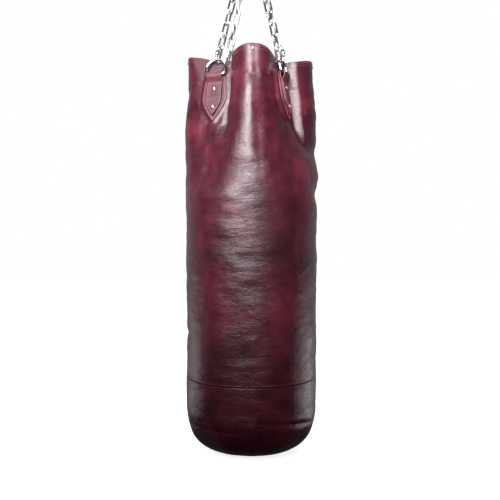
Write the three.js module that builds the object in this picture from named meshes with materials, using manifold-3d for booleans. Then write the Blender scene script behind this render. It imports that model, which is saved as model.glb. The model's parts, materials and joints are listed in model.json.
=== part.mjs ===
// Heavy punching bag: a leather cylinder filled with rags, hung from four chain legs,
// a swivel and a snap hook. Millimetres, +Z up, the front of the bag faces -Y.
// Inside this file heights are measured from the underside of the bag. The whole model is
// lowered at the end, so that the origin is the point of the snap hook that it hangs from.
import * as THREE from 'three';
import { mergeVertices } from 'three/addons/utils/BufferGeometryUtils.js';
import Module from 'manifold-3d';

const wasm = await Module();
wasm.setup();

// ---------- driving dimensions ----------

const GAP = 0.35; // between pieces that touch
const TURN = 2 * Math.PI;
const DEGREE = Math.PI / 180;
const LEGS = 4;

// leather bag
const BAG_RADIUS = 170;
const BAG_HEIGHT = 1000; // nominal height of the rim
const LEATHER = 3;
const FLAT_RADIUS = 95; // flat middle of the underside
const CORNER_HEIGHT = 105; // rounded lower corner
const BASE_RADIUS = 118; // seam between the base disc and the lower band
const BAND_TOP = 180; // seam between the lower band and the upper panel
const ROUND_SIDES = 48; // of the lower corner and the fill
const MOUTH_SIDES = 64; // of the sleeves that reach the mouth
const CORNER_STEPS = 4;

// open mouth, drawn inwards at four valleys by the hanging tabs
const MOUTH_START = 660;
const MOUTH_ROWS = [760, 850, 950, BAG_HEIGHT];
const FULL_PINCH = 950; // the valleys are at their deepest from here up
const PINCH_POWER = 1.2;
const VALLEY_DEPTH = 62;
const LOBE_ANGLE = 1.5 * DEGREE; // the first lobe, from the front
const LOBE_RISE = 8; // the rim is this much higher on a lobe
const VALLEY_DROP = 16; // and this much lower in a valley

// inside the bag
const LINING = 1.2;
const LINING_OFFSET = LEATHER + 3;
const LINING_TOP = 935;
const BAND_OFFSET = LEATHER + 2.4;
const MOUTH_BAND = 2.2;
const MOUTH_BAND_BOTTOM = 948;
const FILL_RADIUS = 162;
const FILL_TOP = 690;
const COVER_RADIUS = 156;
const COVER_THICKNESS = 4;

// hanging tabs
const TAB_LEAD = 8 * DEGREE; // a tab sits this far before the bottom of its valley
const BAR_HEIGHT = 948;
const LEAF_THICKNESS = 3;
const LEAF_HALF = 33;
const LEAF_TOP_HALF = 27;
const LEAF_TOP = -2; // heights on a tab are measured from the D-ring's bar
const LEAF_WAIST = -62;
const LEAF_TIP = -118;
const LEAF_CURVE = 1.5; // power of the taper towards the tip
const LEAF_PROBES = 8; // points along half a tab's width where the leather behind is measured
const STRAP_THICKNESS = 2.5;
const STRAP_HALF = 21;
const STRAP_SHOULDER = -70;
const STRAP_TIP = -104;
const STRAP_MEET = -20; // the strap's two layers lie together below this
const STRAP_OVERTURN = 0.15 * Math.PI; // how far the strap bends on past half a turn
const STRAP_BEND_STEPS = 5;
const TAB_RIVETS = [-36, -84];
const TIP_HALF = 1.5;
const LEAF_STANDOFF = 10 * GAP; // also keeps the chains clear of the rim
const FLAT_BEFORE = 35 * DEGREE; // the leather lies flat behind a tab from here
const FLAT_AFTER = 22 * DEGREE; // to here
const FLAT_BOTTOM = 820; // and from this height up
const PLANE_STEP = 0.5 * DEGREE; // the tab's plane follows the leather over this much each side

// back seam and rivets
const SEAM_STRIP_HALF = 15;
const SEAM_STRIP_THICKNESS = 2.5;
const SEAM_STRIP_DROP = 22; // from the rim, clear of its rivet
const RIVET_HEAD = 4.8;
const RIVET_SHANK = 2;
const RIVET_HOLE = 2.6;
const RIM_RIVET_HEAD = 3.6;
const RIM_RIVET_DROP = 12;
const RIVET_SIDES = 6;
const RIVET_TAIL = 1; // thickness of the flat head inside the bag
const RIVET_TAIL_SHARE = 0.8; // its radius, as a share of the outer head's
const RIVET_DOME = 2.4;
const RIVET_CLEARANCE = 4 * GAP; // between the flat head and the layer in front of it
const DRILL_OVERRUN = 6;

// D-rings
const D_WIRE = 3.5;
const D_HALF = 25.5;
const D_STRAIGHT = 17;
const D_CORNER = 6;
const D_ARC_STEPS = 12;
const D_CORNER_STEPS = 2;
const BAR_STANDOFF = D_WIRE + 3.5 * GAP;

// chain legs
const LINKS = 9;
const LINK_WIRE = 2.5;
const LINK_PITCH = 35;
const LINK_HALF = 7.5; // centreline half-width
const QUICK_WIRE = 2.75;
const QUICK_PITCH = 40;
const QUICK_HALF = 8.25;
const QUICK_OPENING = 5;
const NUT_LENGTH = 11;
const NUT_RADIUS = 5.6;
const NUT_BORE = 3.6;
const LINK_SIDES = 6;
const LINK_ARC_STEPS = 4;
const BEARING = 0.45; // how far a loaded link beds into the next, which joins a leg's links
const OPEN_CONTACTS = 3; // D-ring to quick link, quick link to chain, chain to collector ring

// collector ring, and where each leg hangs on it: front right, back right, back left, front left
const RING_WIRE = 3.5;
const RING_RADIUS = 28;
const RING_STEPS = 20;
const RING_HEIGHT = 1312.5; // centre of the wire at the bottom of the ring
const LEG_SLOTS = [4.6, 11.4, -4.6, -11.4];

// swivel
const BOW_WIRE = 4.5;
const BOW_HALF = 15.5;
const BOW_STRAIGHT = 20;
const BOW_STEPS = 10;
const BOSS_RADIUS = 20;
const BOSS_HEIGHT = 12;
const BOLT_RADIUS = 6;
const BOLT_HOLE = 6.5;
const WASHER_RADIUS = 15;
const WASHER_HEIGHT = 2;
const COLLAR_RADIUS = 12;
const COLLAR_HEIGHT = 5;
const SWIVEL_NUT_RADIUS = 10;
const SWIVEL_NUT_HEIGHT = 8;
const EYE_RADIUS = 13.5;
const EYE_WIRE = 4.5;
const EYE_SINK = 2; // depth of the eye in its collar
const BOLT_OVERRUN = 1; // of the bolt below its nut
const ROUND_STEPS = 16;

// snap hook
const HOOK_WIRE = 4;
const HOOK_LENGTH = 72; // between the wire centres at its two ends
const HOOK_TOP_RADIUS = 17;
const HOOK_BOTTOM_RADIUS = 12;
const HOOK_SIDES = 8;
const HOOK_TOP_STEPS = 10;
const HOOK_BOTTOM_STEPS = 8;
const GATE_BOTTOM = 20; // height of the gate's pin above the lowest wire centre
const GATE_LENGTH = 31;
const GATE_WIRE = HOOK_WIRE - 0.2;
const GATE_WIDTH = 2 * GATE_WIRE - 0.4; // across the gate's two cheeks, along its pin
const GATE_PIN = 1.5;
const TONGUE_HALF = 1.2; // half thickness of the tongue that the gate straddles
const TONGUE_RADIUS = 4;
const TONGUE_CLEARANCE = 1;

// ---------- materials ----------

function finish(color, roughness, metalness) {
  return new THREE.MeshStandardMaterial({ color, roughness, metalness });
}

const leather = finish(0x4a1420, 0.35, 0);
const tabLeather = finish(0x551824, 0.4, 0);
const suede = finish(0x6b4a40, 0.9, 0);
const canvas = finish(0x9a8f7c, 0.95, 0);
const rags = finish(0x8d8a86, 1, 0);
const chrome = finish(0xd8dade, 0.12, 1);
const zinc = finish(0xa9adb2, 0.3, 1);

// ---------- geometry helpers ----------

/** A closed geometry as a solid that can be cut or joined. */
function solid(geometry) {
  const bare = geometry.clone();
  bare.deleteAttribute('normal');
  bare.deleteAttribute('uv');
  const merged = mergeVertices(bare, 1e-4);
  const mesh = new wasm.Mesh({
    numProp: 3,
    vertProperties: new Float32Array(merged.attributes.position.array),
    triVerts: new Uint32Array(merged.index.array),
  });
  return new wasm.Manifold(mesh);
}

/** The geometry of a cut or joined solid. */
function geometryOf(body) {
  const mesh = body.getMesh();
  const geometry = new THREE.BufferGeometry();
  geometry.setAttribute('position', new THREE.BufferAttribute(mesh.vertProperties, 3));
  geometry.setIndex(new THREE.BufferAttribute(mesh.triVerts, 1));
  return geometry;
}

/** The first geometry with each of the others cut out of it. */
function cut(geometry, tools) {
  let body = solid(geometry);
  for (const tool of tools) body = body.subtract(solid(tool));
  return geometryOf(body);
}

/** Several geometries that touch, joined into one. */
function join(geometries) {
  let body = solid(geometries[0]);
  for (const other of geometries.slice(1)) body = body.add(solid(other));
  return geometryOf(body);
}

/** A solid of revolution about Z from a list of [radius, height] pairs. */
function revolve(profile, sides) {
  const points = profile.map(([radius, height]) => new THREE.Vector2(radius, height));
  const geometry = new THREE.LatheGeometry(points, sides);
  geometry.rotateX(Math.PI / 2);
  return geometry;
}

/** An upright cylinder whose lower face is at the given height. */
function post(radius, bottom, height, sides) {
  const geometry = new THREE.CylinderGeometry(radius, radius, height, sides);
  geometry.rotateX(Math.PI / 2);
  geometry.translate(0, 0, bottom + height / 2);
  return geometry;
}

/** A cylinder along Y, centred on the origin. */
function crossRod(radius, length) {
  return new THREE.CylinderGeometry(radius, radius, length, ROUND_STEPS);
}

/** An upright six-sided nut with a round bore. */
function hexNut(radius, bore, bottom, height) {
  const outline = new THREE.Shape();
  outline.setFromPoints(circlePoints(radius, LINK_SIDES));
  outline.holes.push(new THREE.Path(circlePoints(bore, ROUND_STEPS)));
  const options = { depth: height, bevelEnabled: false };
  const geometry = new THREE.ExtrudeGeometry(outline, options);
  geometry.translate(0, 0, bottom);
  return geometry;
}

function circlePoints(radius, count) {
  const points = [];
  for (let i = 0; i < count; i++) {
    const angle = (TURN * i) / count;
    points.push(new THREE.Vector2(radius * Math.cos(angle), radius * Math.sin(angle)));
  }
  return points;
}

/** Points of an arc in a plane, both ends included. */
function arc(centre, radius, from, to, steps) {
  const points = [];
  for (let i = 0; i <= steps; i++) {
    const angle = from + ((to - from) * i) / steps;
    const x = centre.x + radius * Math.cos(angle);
    points.push(new THREE.Vector2(x, centre.y + radius * Math.sin(angle)));
  }
  return points;
}

/** Round wire through points of the XZ plane, closed on itself or with flat ends. */
function wire(points, radius, sides, closed = true) {
  const count = points.length;
  const index = (i) => (closed ? (i + count) % count : THREE.MathUtils.clamp(i, 0, count - 1));
  const at = (i) => points[index(i)];
  const positions = [];
  const faces = [];
  for (let i = 0; i < count; i++) {
    const before = points[i].clone().sub(at(i - 1)).normalize();
    const after = at(i + 1).clone().sub(points[i]).normalize();
    const along = before.clone().add(after).normalize();
    const mitre = 1 / Math.max(along.dot(after), along.dot(before));
    for (let j = 0; j < sides; j++) {
      const angle = (TURN * (j + 0.5)) / sides;
      const across = radius * Math.cos(angle) * mitre;
      positions.push(points[i].x + across * along.y);
      positions.push(radius * Math.sin(angle));
      positions.push(points[i].y - across * along.x);
    }
  }
  const spans = closed ? count : count - 1;
  for (let i = 0; i < spans; i++) {
    const next = (i + 1) % count;
    for (let j = 0; j < sides; j++) {
      const side = (j + 1) % sides;
      faces.push(i * sides + j, next * sides + side, next * sides + j);
      faces.push(i * sides + j, i * sides + side, next * sides + side);
    }
  }
  for (let j = 1; j < sides - 1 && !closed; j++) {
    const last = (count - 1) * sides;
    faces.push(0, j + 1, j);
    faces.push(last, last + j, last + j + 1);
  }
  const geometry = new THREE.BufferGeometry();
  geometry.setAttribute('position', new THREE.Float32BufferAttribute(positions, 3));
  geometry.setIndex(faces);
  return geometry;
}

/** Points of a circle round the origin of the XZ plane. */
function roundLoop(radius, steps) {
  return arc(new THREE.Vector2(0, 0), radius, 0, TURN, steps).slice(0, -1);
}

/** A long loop with round ends, centred on the origin with its length along Z. */
function linkLoop(halfWidth, innerLength, wireRadius, arcSteps) {
  const centre = innerLength / 2 + wireRadius - halfWidth;
  const top = arc(new THREE.Vector2(0, centre), halfWidth, 0, Math.PI, arcSteps);
  const bottom = arc(new THREE.Vector2(0, -centre), halfWidth, Math.PI, TURN, arcSteps);
  return top.concat(bottom);
}

/** Moves every vertex of a geometry by a function of its position. */
function reshape(geometry, move) {
  const position = geometry.attributes.position;
  const point = new THREE.Vector3();
  for (let i = 0; i < position.count; i++) {
    point.fromBufferAttribute(position, i);
    move(point);
    position.setXYZ(i, point.x, point.y, point.z);
  }
  return geometry;
}

/** A matrix whose axes are the three given directions, at the given place. */
function placement(xAxis, yAxis, zAxis, place) {
  return new THREE.Matrix4().makeBasis(xAxis, yAxis, zAxis).setPosition(place);
}

// ---------- the leather surface ----------

/** Direction away from the bag's axis. Angles run from the front, anticlockwise from above. */
function outward(angle) {
  return new THREE.Vector3(Math.sin(angle), -Math.cos(angle), 0);
}

/** 0 on a lobe of the mouth, 1 at the bottom of a valley. */
function valley(angle) {
  return (1 - Math.cos(LEGS * (angle - LOBE_ANGLE))) / 2;
}

function rimHeight(angle) {
  return BAG_HEIGHT + LOBE_RISE - (LOBE_RISE + VALLEY_DROP) * valley(angle);
}

/** How far the mouth is drawn in at a nominal height, from 0 to 1, straight between rows. */
function pinch(height) {
  let below = MOUTH_START;
  for (const row of MOUTH_ROWS) {
    if (height <= row) {
      const share = Math.max(0, (height - below) / (row - below));
      return THREE.MathUtils.lerp(pinchAtRow(below), pinchAtRow(row), share);
    }
    below = row;
  }
  return 1;
}

function pinchAtRow(row) {
  return Math.min(1, (row - MOUTH_START) / (FULL_PINCH - MOUTH_START)) ** PINCH_POWER;
}

/** A nominal height, stretched or shortened to suit the rim at that angle. */
function realHeight(angle, nominal) {
  if (nominal <= MOUTH_START) return nominal;
  const stretch = (rimHeight(angle) - MOUTH_START) / (BAG_HEIGHT - MOUTH_START);
  return MOUTH_START + (nominal - MOUTH_START) * stretch;
}

function nominalHeight(angle, real) {
  if (real <= MOUTH_START) return real;
  const stretch = (rimHeight(angle) - MOUTH_START) / (BAG_HEIGHT - MOUTH_START);
  return MOUTH_START + (real - MOUTH_START) / stretch;
}

/** A point of the leather before the tabs flatten it. */
function freePoint(angle, height) {
  const drawn = VALLEY_DEPTH * valley(angle) * pinch(nominalHeight(angle, height));
  return outward(angle).multiplyScalar(BAG_RADIUS - drawn).setZ(height);
}

/** The flat plane of one tab: its middle lies on the leather at the height of the D-ring's bar. */
function tabPlane(leg) {
  const angle = LOBE_ANGLE + (leg + 0.5) * (TURN / LEGS) - TAB_LEAD;
  const middle = freePoint(angle, BAR_HEIGHT);
  const side = freePoint(angle + PLANE_STEP, BAR_HEIGHT);
  side.sub(freePoint(angle - PLANE_STEP, BAR_HEIGHT));
  const across = side.setZ(0).normalize();
  const up = middle.clone().sub(freePoint(angle, BAR_HEIGHT + LEAF_TIP));
  up.addScaledVector(across, -up.dot(across)).normalize();
  const out = across.clone().cross(up).normalize();
  return { angle, middle, across, up, out, matrix: placement(across, up, out, middle) };
}

const planes = [];
for (let leg = 0; leg < LEGS; leg++) planes.push(tabPlane(leg));

/** A point of the leather, which lies flat behind each tab. */
function leatherPoint(angle, height) {
  const point = freePoint(angle, height);
  let radius = Math.hypot(point.x, point.y);
  for (const plane of planes) {
    const turns = (angle - plane.angle) / TURN;
    const ahead = (turns - Math.round(turns)) * TURN;
    if (height < FLAT_BOTTOM || ahead < -FLAT_BEFORE || ahead > FLAT_AFTER) continue;
    const reach = plane.middle.dot(plane.out) - height * plane.out.z;
    radius = Math.min(radius, reach / outward(angle).dot(plane.out));
  }
  return outward(angle).multiplyScalar(radius).setZ(height);
}

/** Draws a sleeve of revolution in at the mouth, as the leather is. */
function drawnIn(geometry) {
  return reshape(geometry, (point) => {
    const angle = Math.atan2(point.x, -point.y);
    const inset = BAG_RADIUS - Math.hypot(point.x, point.y);
    const real = leatherPoint(angle, realHeight(angle, point.z));
    point.copy(real.addScaledVector(outward(angle), -inset));
  });
}

/** A sleeve between two nominal heights whose outside is this far inside the leather's face. */
function sleeve(offset, thickness, bottom, top) {
  const outer = BAG_RADIUS - offset;
  const inner = outer - thickness;
  const rows = [MOUTH_START, ...MOUTH_ROWS].filter((row) => row > bottom && row < top);
  const heights = [bottom, ...rows, top];
  const profile = heights.map((height) => [outer, height]);
  profile.push(...heights.reverse().map((height) => [inner, height]));
  return drawnIn(hoop(profile, MOUTH_SIDES));
}

/**
 * A closed profile of [radius, height] pairs turned about Z. Every quad is split from its lower
 * right to its upper left, inside and outside, so that nested sleeves keep their distance.
 */
function hoop(profile, sides) {
  const rows = profile.length;
  const positions = [];
  const faces = [];
  for (let j = 0; j < sides; j++) {
    const out = outward((TURN * j) / sides);
    for (const [radius, height] of profile) positions.push(out.x * radius, out.y * radius, height);
  }
  for (let j = 0; j < sides; j++) {
    const left = j * rows;
    const right = ((j + 1) % sides) * rows;
    for (let i = 0; i < rows; i++) {
      const next = (i + 1) % rows;
      if (profile[next][1] > profile[i][1]) {
        faces.push(left + i, right + i, left + next, right + i, right + next, left + next);
      } else {
        faces.push(left + i, right + i, right + next, left + i, right + next, left + next);
      }
    }
  }
  const geometry = new THREE.BufferGeometry();
  geometry.setAttribute('position', new THREE.Float32BufferAttribute(positions, 3));
  geometry.setIndex(faces);
  return geometry;
}

// ---------- hanging tabs ----------

/** Distance of a leaf's back from its tab's plane, clear of the leather. */
function leafBack({ matrix, out }) {
  let highest = 0;
  for (let x = -LEAF_HALF; x <= LEAF_HALF; x += LEAF_HALF / LEAF_PROBES) {
    for (let y = LEAF_TIP; y <= LEAF_TOP; y += -LEAF_TIP / (2 * LEAF_PROBES)) {
      if (Math.abs(x) > leafHalf(y)) continue;
      const flat = new THREE.Vector3(x, y, 0).applyMatrix4(matrix);
      const real = leatherPoint(Math.atan2(flat.x, -flat.y), flat.z);
      highest = Math.max(highest, real.sub(flat).dot(out));
    }
  }
  return highest + LEAF_STANDOFF;
}

/** Half-width of the backing leaf at a height on the tab. */
function leafHalf(y) {
  if (y > LEAF_WAIST) {
    const rise = (y - LEAF_WAIST) / (LEAF_TOP - LEAF_WAIST);
    return THREE.MathUtils.lerp(LEAF_HALF, LEAF_TOP_HALF, rise);
  }
  const share = (LEAF_WAIST - y) / (LEAF_WAIST - LEAF_TIP);
  return THREE.MathUtils.lerp(LEAF_HALF, TIP_HALF, share ** LEAF_CURVE);
}

/** Half-width of the strap at a height on the tab. */
function strapHalf(y) {
  const share = THREE.MathUtils.clamp((STRAP_SHOULDER - y) / (STRAP_SHOULDER - STRAP_TIP), 0, 1);
  return THREE.MathUtils.lerp(STRAP_HALF, TIP_HALF, share);
}

function tabBacking(plane) {
  const geometry = new THREE.BoxGeometry(2, 1, LEAF_THICKNESS, 2, 6, 1);
  reshape(geometry, (point) => {
    const y = LEAF_TIP + (LEAF_TOP - LEAF_TIP) * (point.y + 0.5);
    point.set(point.x * leafHalf(y), y, point.z + plane.back + LEAF_THICKNESS / 2);
  });
  return geometry.applyMatrix4(plane.matrix);
}

/** Distance of the D-ring's bar from the leather at the middle of a tab. */
function barOffset(plane) {
  return strapBack(plane) + STRAP_THICKNESS / 2 + BAR_STANDOFF;
}

/** Middle of the strap's back layer. */
function strapBack(plane) {
  return plane.back + LEAF_THICKNESS + GAP + STRAP_THICKNESS / 2;
}

/** The strap's side view: up behind the bar, round it, and down in front to the same tip. */
function strapRoute(plane) {
  const behind = strapBack(plane);
  const front = behind + STRAP_THICKNESS + GAP;
  const bend = BAR_STANDOFF + STRAP_THICKNESS / 2;
  const centre = new THREE.Vector2(behind + bend, 0);
  const route = [STRAP_TIP, (STRAP_TIP + STRAP_SHOULDER) / 2, STRAP_SHOULDER, STRAP_MEET];
  const points = route.map((y) => new THREE.Vector2(behind, y));
  points.push(...arc(centre, bend, Math.PI, -STRAP_OVERTURN, STRAP_BEND_STEPS));
  points.push(...route.reverse().map((y) => new THREE.Vector2(front, y)));
  return points;
}

function loopStrap(plane) {
  const route = strapRoute(plane);
  const spans = route.length - 1;
  const geometry = new THREE.BoxGeometry(2, spans, STRAP_THICKNESS, 2, spans, 1);
  reshape(geometry, (point) => {
    const i = Math.round(point.y + spans / 2);
    const before = route[i].clone().sub(route[Math.max(i - 1, 0)]).normalize();
    const after = route[Math.min(i + 1, spans)].clone().sub(route[i]).normalize();
    const along = before.add(after).normalize();
    const y = route[i].y + point.z * along.x;
    const out = route[i].x - point.z * along.y;
    point.set(-point.x * strapHalf(Math.min(route[i].y, 0)), y, out);
  });
  return geometry.applyMatrix4(plane.matrix);
}

// ---------- rivets ----------

/** A rivet along Z: domed head above the given height, shank, and a flat head at depth zero. */
function rivet(head, grip) {
  const tail = head * RIVET_TAIL_SHARE;
  const profile = [[0, -RIVET_TAIL], [tail, -RIVET_TAIL], [tail, 0], [RIVET_SHANK, 0]];
  profile.push([RIVET_SHANK, grip], [head, grip]);
  profile.push([head * Math.SQRT1_2, grip + RIVET_DOME * Math.SQRT1_2], [0, grip + RIVET_DOME]);
  return revolve(profile, RIVET_SIDES);
}

/** The places of a tab's rivets: at each, Z points out of the bag and the inner head is at zero. */
function tabRivetPlaces(plane) {
  const inner = -LINING_OFFSET - LINING - RIVET_CLEARANCE;
  return TAB_RIVETS.map((y) => {
    const place = new THREE.Vector3(0, y, inner).applyMatrix4(plane.matrix);
    const surface = surfaceInside(plane, y);
    place.addScaledVector(plane.out, surface);
    const length = strapBack(plane) + STRAP_THICKNESS * 1.5 + 2 * GAP - inner - surface;
    return { matrix: placement(plane.across, plane.up, plane.out, place), length };
  });
}

/** How far outside the tab's plane the leather lies behind a rivet. */
function surfaceInside(plane, y) {
  const flat = new THREE.Vector3(0, y, 0).applyMatrix4(plane.matrix);
  const real = leatherPoint(Math.atan2(flat.x, -flat.y), flat.z);
  return real.sub(flat).dot(plane.out);
}

/** Rivets through the rim and the mouth band, one on each lobe and in each valley. */
function rimRivetPlaces() {
  const places = [];
  for (let i = 0; i < 2 * LEGS; i++) {
    const angle = LOBE_ANGLE + (i * TURN) / (2 * LEGS);
    const height = rimHeight(angle) - RIM_RIVET_DROP;
    const out = outward(angle);
    const across = new THREE.Vector3(0, 0, 1).cross(out);
    const slope = leatherPoint(angle, height + 1).sub(leatherPoint(angle, height - 1)).normalize();
    const normal = across.clone().cross(slope).normalize();
    const inner = BAND_OFFSET + MOUTH_BAND + RIVET_CLEARANCE;
    const place = leatherPoint(angle, height).addScaledVector(normal, -inner);
    places.push({ matrix: placement(across, slope, normal, place), length: inner + RIVET_CLEARANCE });
  }
  return places;
}

/** Drills for every rivet, longer than the rivet at both ends. */
function drills(places) {
  return places.map(({ matrix, length }) => {
    const reach = length + 2 * DRILL_OVERRUN;
    return post(RIVET_HOLE, -DRILL_OVERRUN, reach, RIVET_SIDES).applyMatrix4(matrix);
  });
}

// ---------- bag pieces ----------

/** The rounded lower corner, as [radius, height] pairs, for the outside or an inner layer. */
function cornerProfile(inset, fromRadius, steps) {
  const wide = BAG_RADIUS - FLAT_RADIUS - inset;
  const tall = CORNER_HEIGHT - inset;
  const from = Math.asin((fromRadius - FLAT_RADIUS) / wide);
  const profile = [];
  for (let i = 0; i <= steps; i++) {
    const angle = from + ((Math.PI / 2 - from) * i) / steps;
    profile.push([FLAT_RADIUS + wide * Math.sin(angle), CORNER_HEIGHT - tall * Math.cos(angle)]);
  }
  return profile;
}

function shellUpper() {
  return sleeve(0, LEATHER, BAND_TOP + GAP / 2, BAG_HEIGHT);
}

function lining() {
  return sleeve(LINING_OFFSET, LINING, CORNER_HEIGHT, LINING_TOP);
}

function mouthBand() {
  return sleeve(BAND_OFFSET, MOUTH_BAND, MOUTH_BAND_BOTTOM, BAG_HEIGHT - 1);
}

function lowerBand() {
  const top = BAND_TOP - GAP / 2;
  const seam = BASE_RADIUS + GAP;
  const profile = cornerProfile(0, seam, CORNER_STEPS);
  profile.push([BAG_RADIUS, top], [BAG_RADIUS - LEATHER, top]);
  profile.push(...cornerProfile(LEATHER, seam, CORNER_STEPS).reverse());
  profile.push(profile[0]);
  return revolve(profile, ROUND_SIDES);
}

function baseDisc() {
  const seam = cornerProfile(0, BASE_RADIUS, 1)[0];
  const seamInside = cornerProfile(LEATHER, BASE_RADIUS, 1)[0];
  const profile = [[0, 0], [FLAT_RADIUS, 0], seam, seamInside];
  profile.push([FLAT_RADIUS, LEATHER], [0, LEATHER]);
  return revolve(profile, ROUND_SIDES);
}

function ragFill() {
  const inset = BAG_RADIUS - FILL_RADIUS;
  const profile = [[0, inset], ...cornerProfile(inset, FLAT_RADIUS, CORNER_STEPS)];
  profile.push([FILL_RADIUS, MOUTH_START], [COVER_RADIUS, FILL_TOP], [0, FILL_TOP]);
  return revolve(profile, ROUND_SIDES);
}

function fillCover() {
  return post(COVER_RADIUS, FILL_TOP + GAP, COVER_THICKNESS, ROUND_SIDES);
}

function backSeamStrip() {
  const bottom = BAND_TOP + GAP;
  const top = BAG_HEIGHT - SEAM_STRIP_DROP;
  const back = Math.PI + LOBE_ANGLE;
  const heights = [bottom, MOUTH_START, ...MOUTH_ROWS.slice(0, -1), top];
  const spans = heights.length - 1;
  const geometry = new THREE.BoxGeometry(2, spans, 1, 4, spans, 1);
  return reshape(geometry, (point) => {
    const nominal = heights[Math.round(point.y + spans / 2)];
    const angle = back - (point.x * SEAM_STRIP_HALF) / BAG_RADIUS;
    const out = 2 * GAP + SEAM_STRIP_THICKNESS * (0.5 - point.z);
    const onLeather = leatherPoint(angle, realHeight(angle, nominal));
    point.copy(onLeather.addScaledVector(outward(angle), out));
  });
}

// ---------- metal pieces ----------

function dRing() {
  const corner = new THREE.Vector2(D_HALF - D_CORNER, D_CORNER);
  const right = arc(corner, D_CORNER, -Math.PI / 2, 0, D_CORNER_STEPS);
  const top = arc(new THREE.Vector2(0, D_STRAIGHT), D_HALF, 0, Math.PI, D_ARC_STEPS);
  const leftCorner = new THREE.Vector2(-corner.x, corner.y);
  const left = arc(leftCorner, D_CORNER, Math.PI, 1.5 * Math.PI, D_CORNER_STEPS);
  return wire([...right, ...top, ...left], D_WIRE, LINK_SIDES);
}

function chainLink() {
  const loop = linkLoop(LINK_HALF, LINK_PITCH, LINK_WIRE, LINK_ARC_STEPS);
  return wire(loop, LINK_WIRE, LINK_SIDES);
}

function quickLink() {
  const route = linkLoop(QUICK_HALF, QUICK_PITCH, QUICK_WIRE, LINK_ARC_STEPS);
  const loop = wire(route, QUICK_WIRE, LINK_SIDES);
  const opening = new THREE.BoxGeometry(4 * QUICK_WIRE, 4 * QUICK_WIRE, QUICK_OPENING);
  opening.translate(QUICK_HALF, 0, 0);
  return cut(loop, [opening]);
}

function quickNut() {
  const nut = hexNut(NUT_RADIUS, NUT_BORE, -NUT_LENGTH / 2, NUT_LENGTH);
  return nut.translate(QUICK_HALF, 0, 0);
}

function collectorRing() {
  return wire(roundLoop(RING_RADIUS, RING_STEPS), RING_WIRE, HOOK_SIDES);
}

/** The swivel's bow, upright in the XZ plane, with the centre of its lowest wire at the origin. */
function swivelBow() {
  const reach = BOSS_HEIGHT / 2;
  const legTop = BOW_HALF + BOW_STRAIGHT + reach;
  const points = arc(new THREE.Vector2(0, BOW_HALF), BOW_HALF, Math.PI, TURN, BOW_STEPS);
  points.unshift(new THREE.Vector2(-BOW_HALF, legTop));
  points.push(new THREE.Vector2(BOW_HALF, legTop));
  const boss = post(BOSS_RADIUS, BOW_HALF + BOW_STRAIGHT, BOSS_HEIGHT, ROUND_STEPS);
  const joined = join([wire(points, BOW_WIRE, HOOK_SIDES, false), boss]);
  return cut(joined, [post(BOLT_HOLE, 0, 4 * BOSS_RADIUS, ROUND_STEPS)]);
}

/** The eye bolt, upright, with the centre of its eye at the origin and the eye in the XZ plane. */
function eyeBolt(shankBottom, collarBottom) {
  const eye = wire(roundLoop(EYE_RADIUS, ROUND_STEPS), EYE_WIRE, HOOK_SIDES);
  const shank = post(BOLT_RADIUS, shankBottom, -EYE_RADIUS - shankBottom, ROUND_STEPS);
  const collar = post(COLLAR_RADIUS, collarBottom, COLLAR_HEIGHT, ROUND_STEPS);
  return join([eye, shank, collar]);
}

/** The washer that the eye bolt's collar turns on. */
function thrustWasher(bottom) {
  const top = WASHER_HEIGHT;
  const profile = [[BOLT_HOLE, 0], [WASHER_RADIUS, 0], [WASHER_RADIUS, top], [BOLT_HOLE, top]];
  profile.push(profile[0]);
  return revolve(profile, ROUND_STEPS).translate(0, 0, bottom);
}

/** The hook's two bends: round the bottom, up the spine, and over the top to the nose. */
function hookRoute() {
  const lower = new THREE.Vector2(0, HOOK_BOTTOM_RADIUS);
  const upper = new THREE.Vector2(0, HOOK_LENGTH - HOOK_TOP_RADIUS);
  const lean = Math.asin((HOOK_TOP_RADIUS - HOOK_BOTTOM_RADIUS) / (upper.y - lower.y));
  const bottom = arc(lower, HOOK_BOTTOM_RADIUS, -lean, -Math.PI + lean, HOOK_BOTTOM_STEPS);
  const top = arc(upper, HOOK_TOP_RADIUS, Math.PI + lean, -lean, HOOK_TOP_STEPS);
  return { bottom, top };
}

/** The gate's frame: its pin, and the direction from the pin towards the nose. */
function gateLine() {
  const { bottom, top } = hookRoute();
  const start = bottom[0];
  const end = top[top.length - 1];
  const along = end.clone().sub(start).normalize();
  const pin = start.clone().addScaledVector(along, (GATE_BOTTOM - start.y) / along.y);
  return { end, along, pin };
}

function snapHook() {
  const { bottom, top } = hookRoute();
  const { end, along, pin } = gateLine();
  const nose = pin.clone().addScaledVector(along, GATE_LENGTH);
  const route = [pin, ...bottom, ...top];
  if (end.y > nose.y) route.push(nose);
  const body = wire(route.reverse(), HOOK_WIRE, HOOK_SIDES, false);
  const tongue = crossRod(TONGUE_RADIUS, 2 * TONGUE_HALF).translate(pin.x, 0, pin.y);
  const cheeks = [1, -1].map((side) => {
    const space = crossRod(TONGUE_RADIUS + TONGUE_CLEARANCE, HOOK_WIRE);
    return space.translate(pin.x, side * (TONGUE_HALF + HOOK_WIRE / 2), pin.y);
  });
  const bore = crossRod(GATE_PIN + GAP, 4 * HOOK_WIRE).translate(pin.x, 0, pin.y);
  return cut(join([body, tongue]), [...cheeks, bore]);
}

/** The gate lies along +Z from its pin, which is at the origin. */
function snapGate() {
  const rod = post(GATE_WIRE, 0, GATE_LENGTH - 2 * GAP, HOOK_SIDES);
  const end = crossRod(GATE_WIRE, GATE_WIDTH);
  const slotLength = 2 * (TONGUE_RADIUS + TONGUE_CLEARANCE);
  const slot = new THREE.BoxGeometry(slotLength, 2 * (TONGUE_HALF + GAP), slotLength);
  const bore = crossRod(GATE_PIN + GAP, 4 * HOOK_WIRE);
  return cut(join([rod, end]), [slot, bore]);
}

function gatePin() {
  return crossRod(GATE_PIN, GATE_WIDTH);
}

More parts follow.
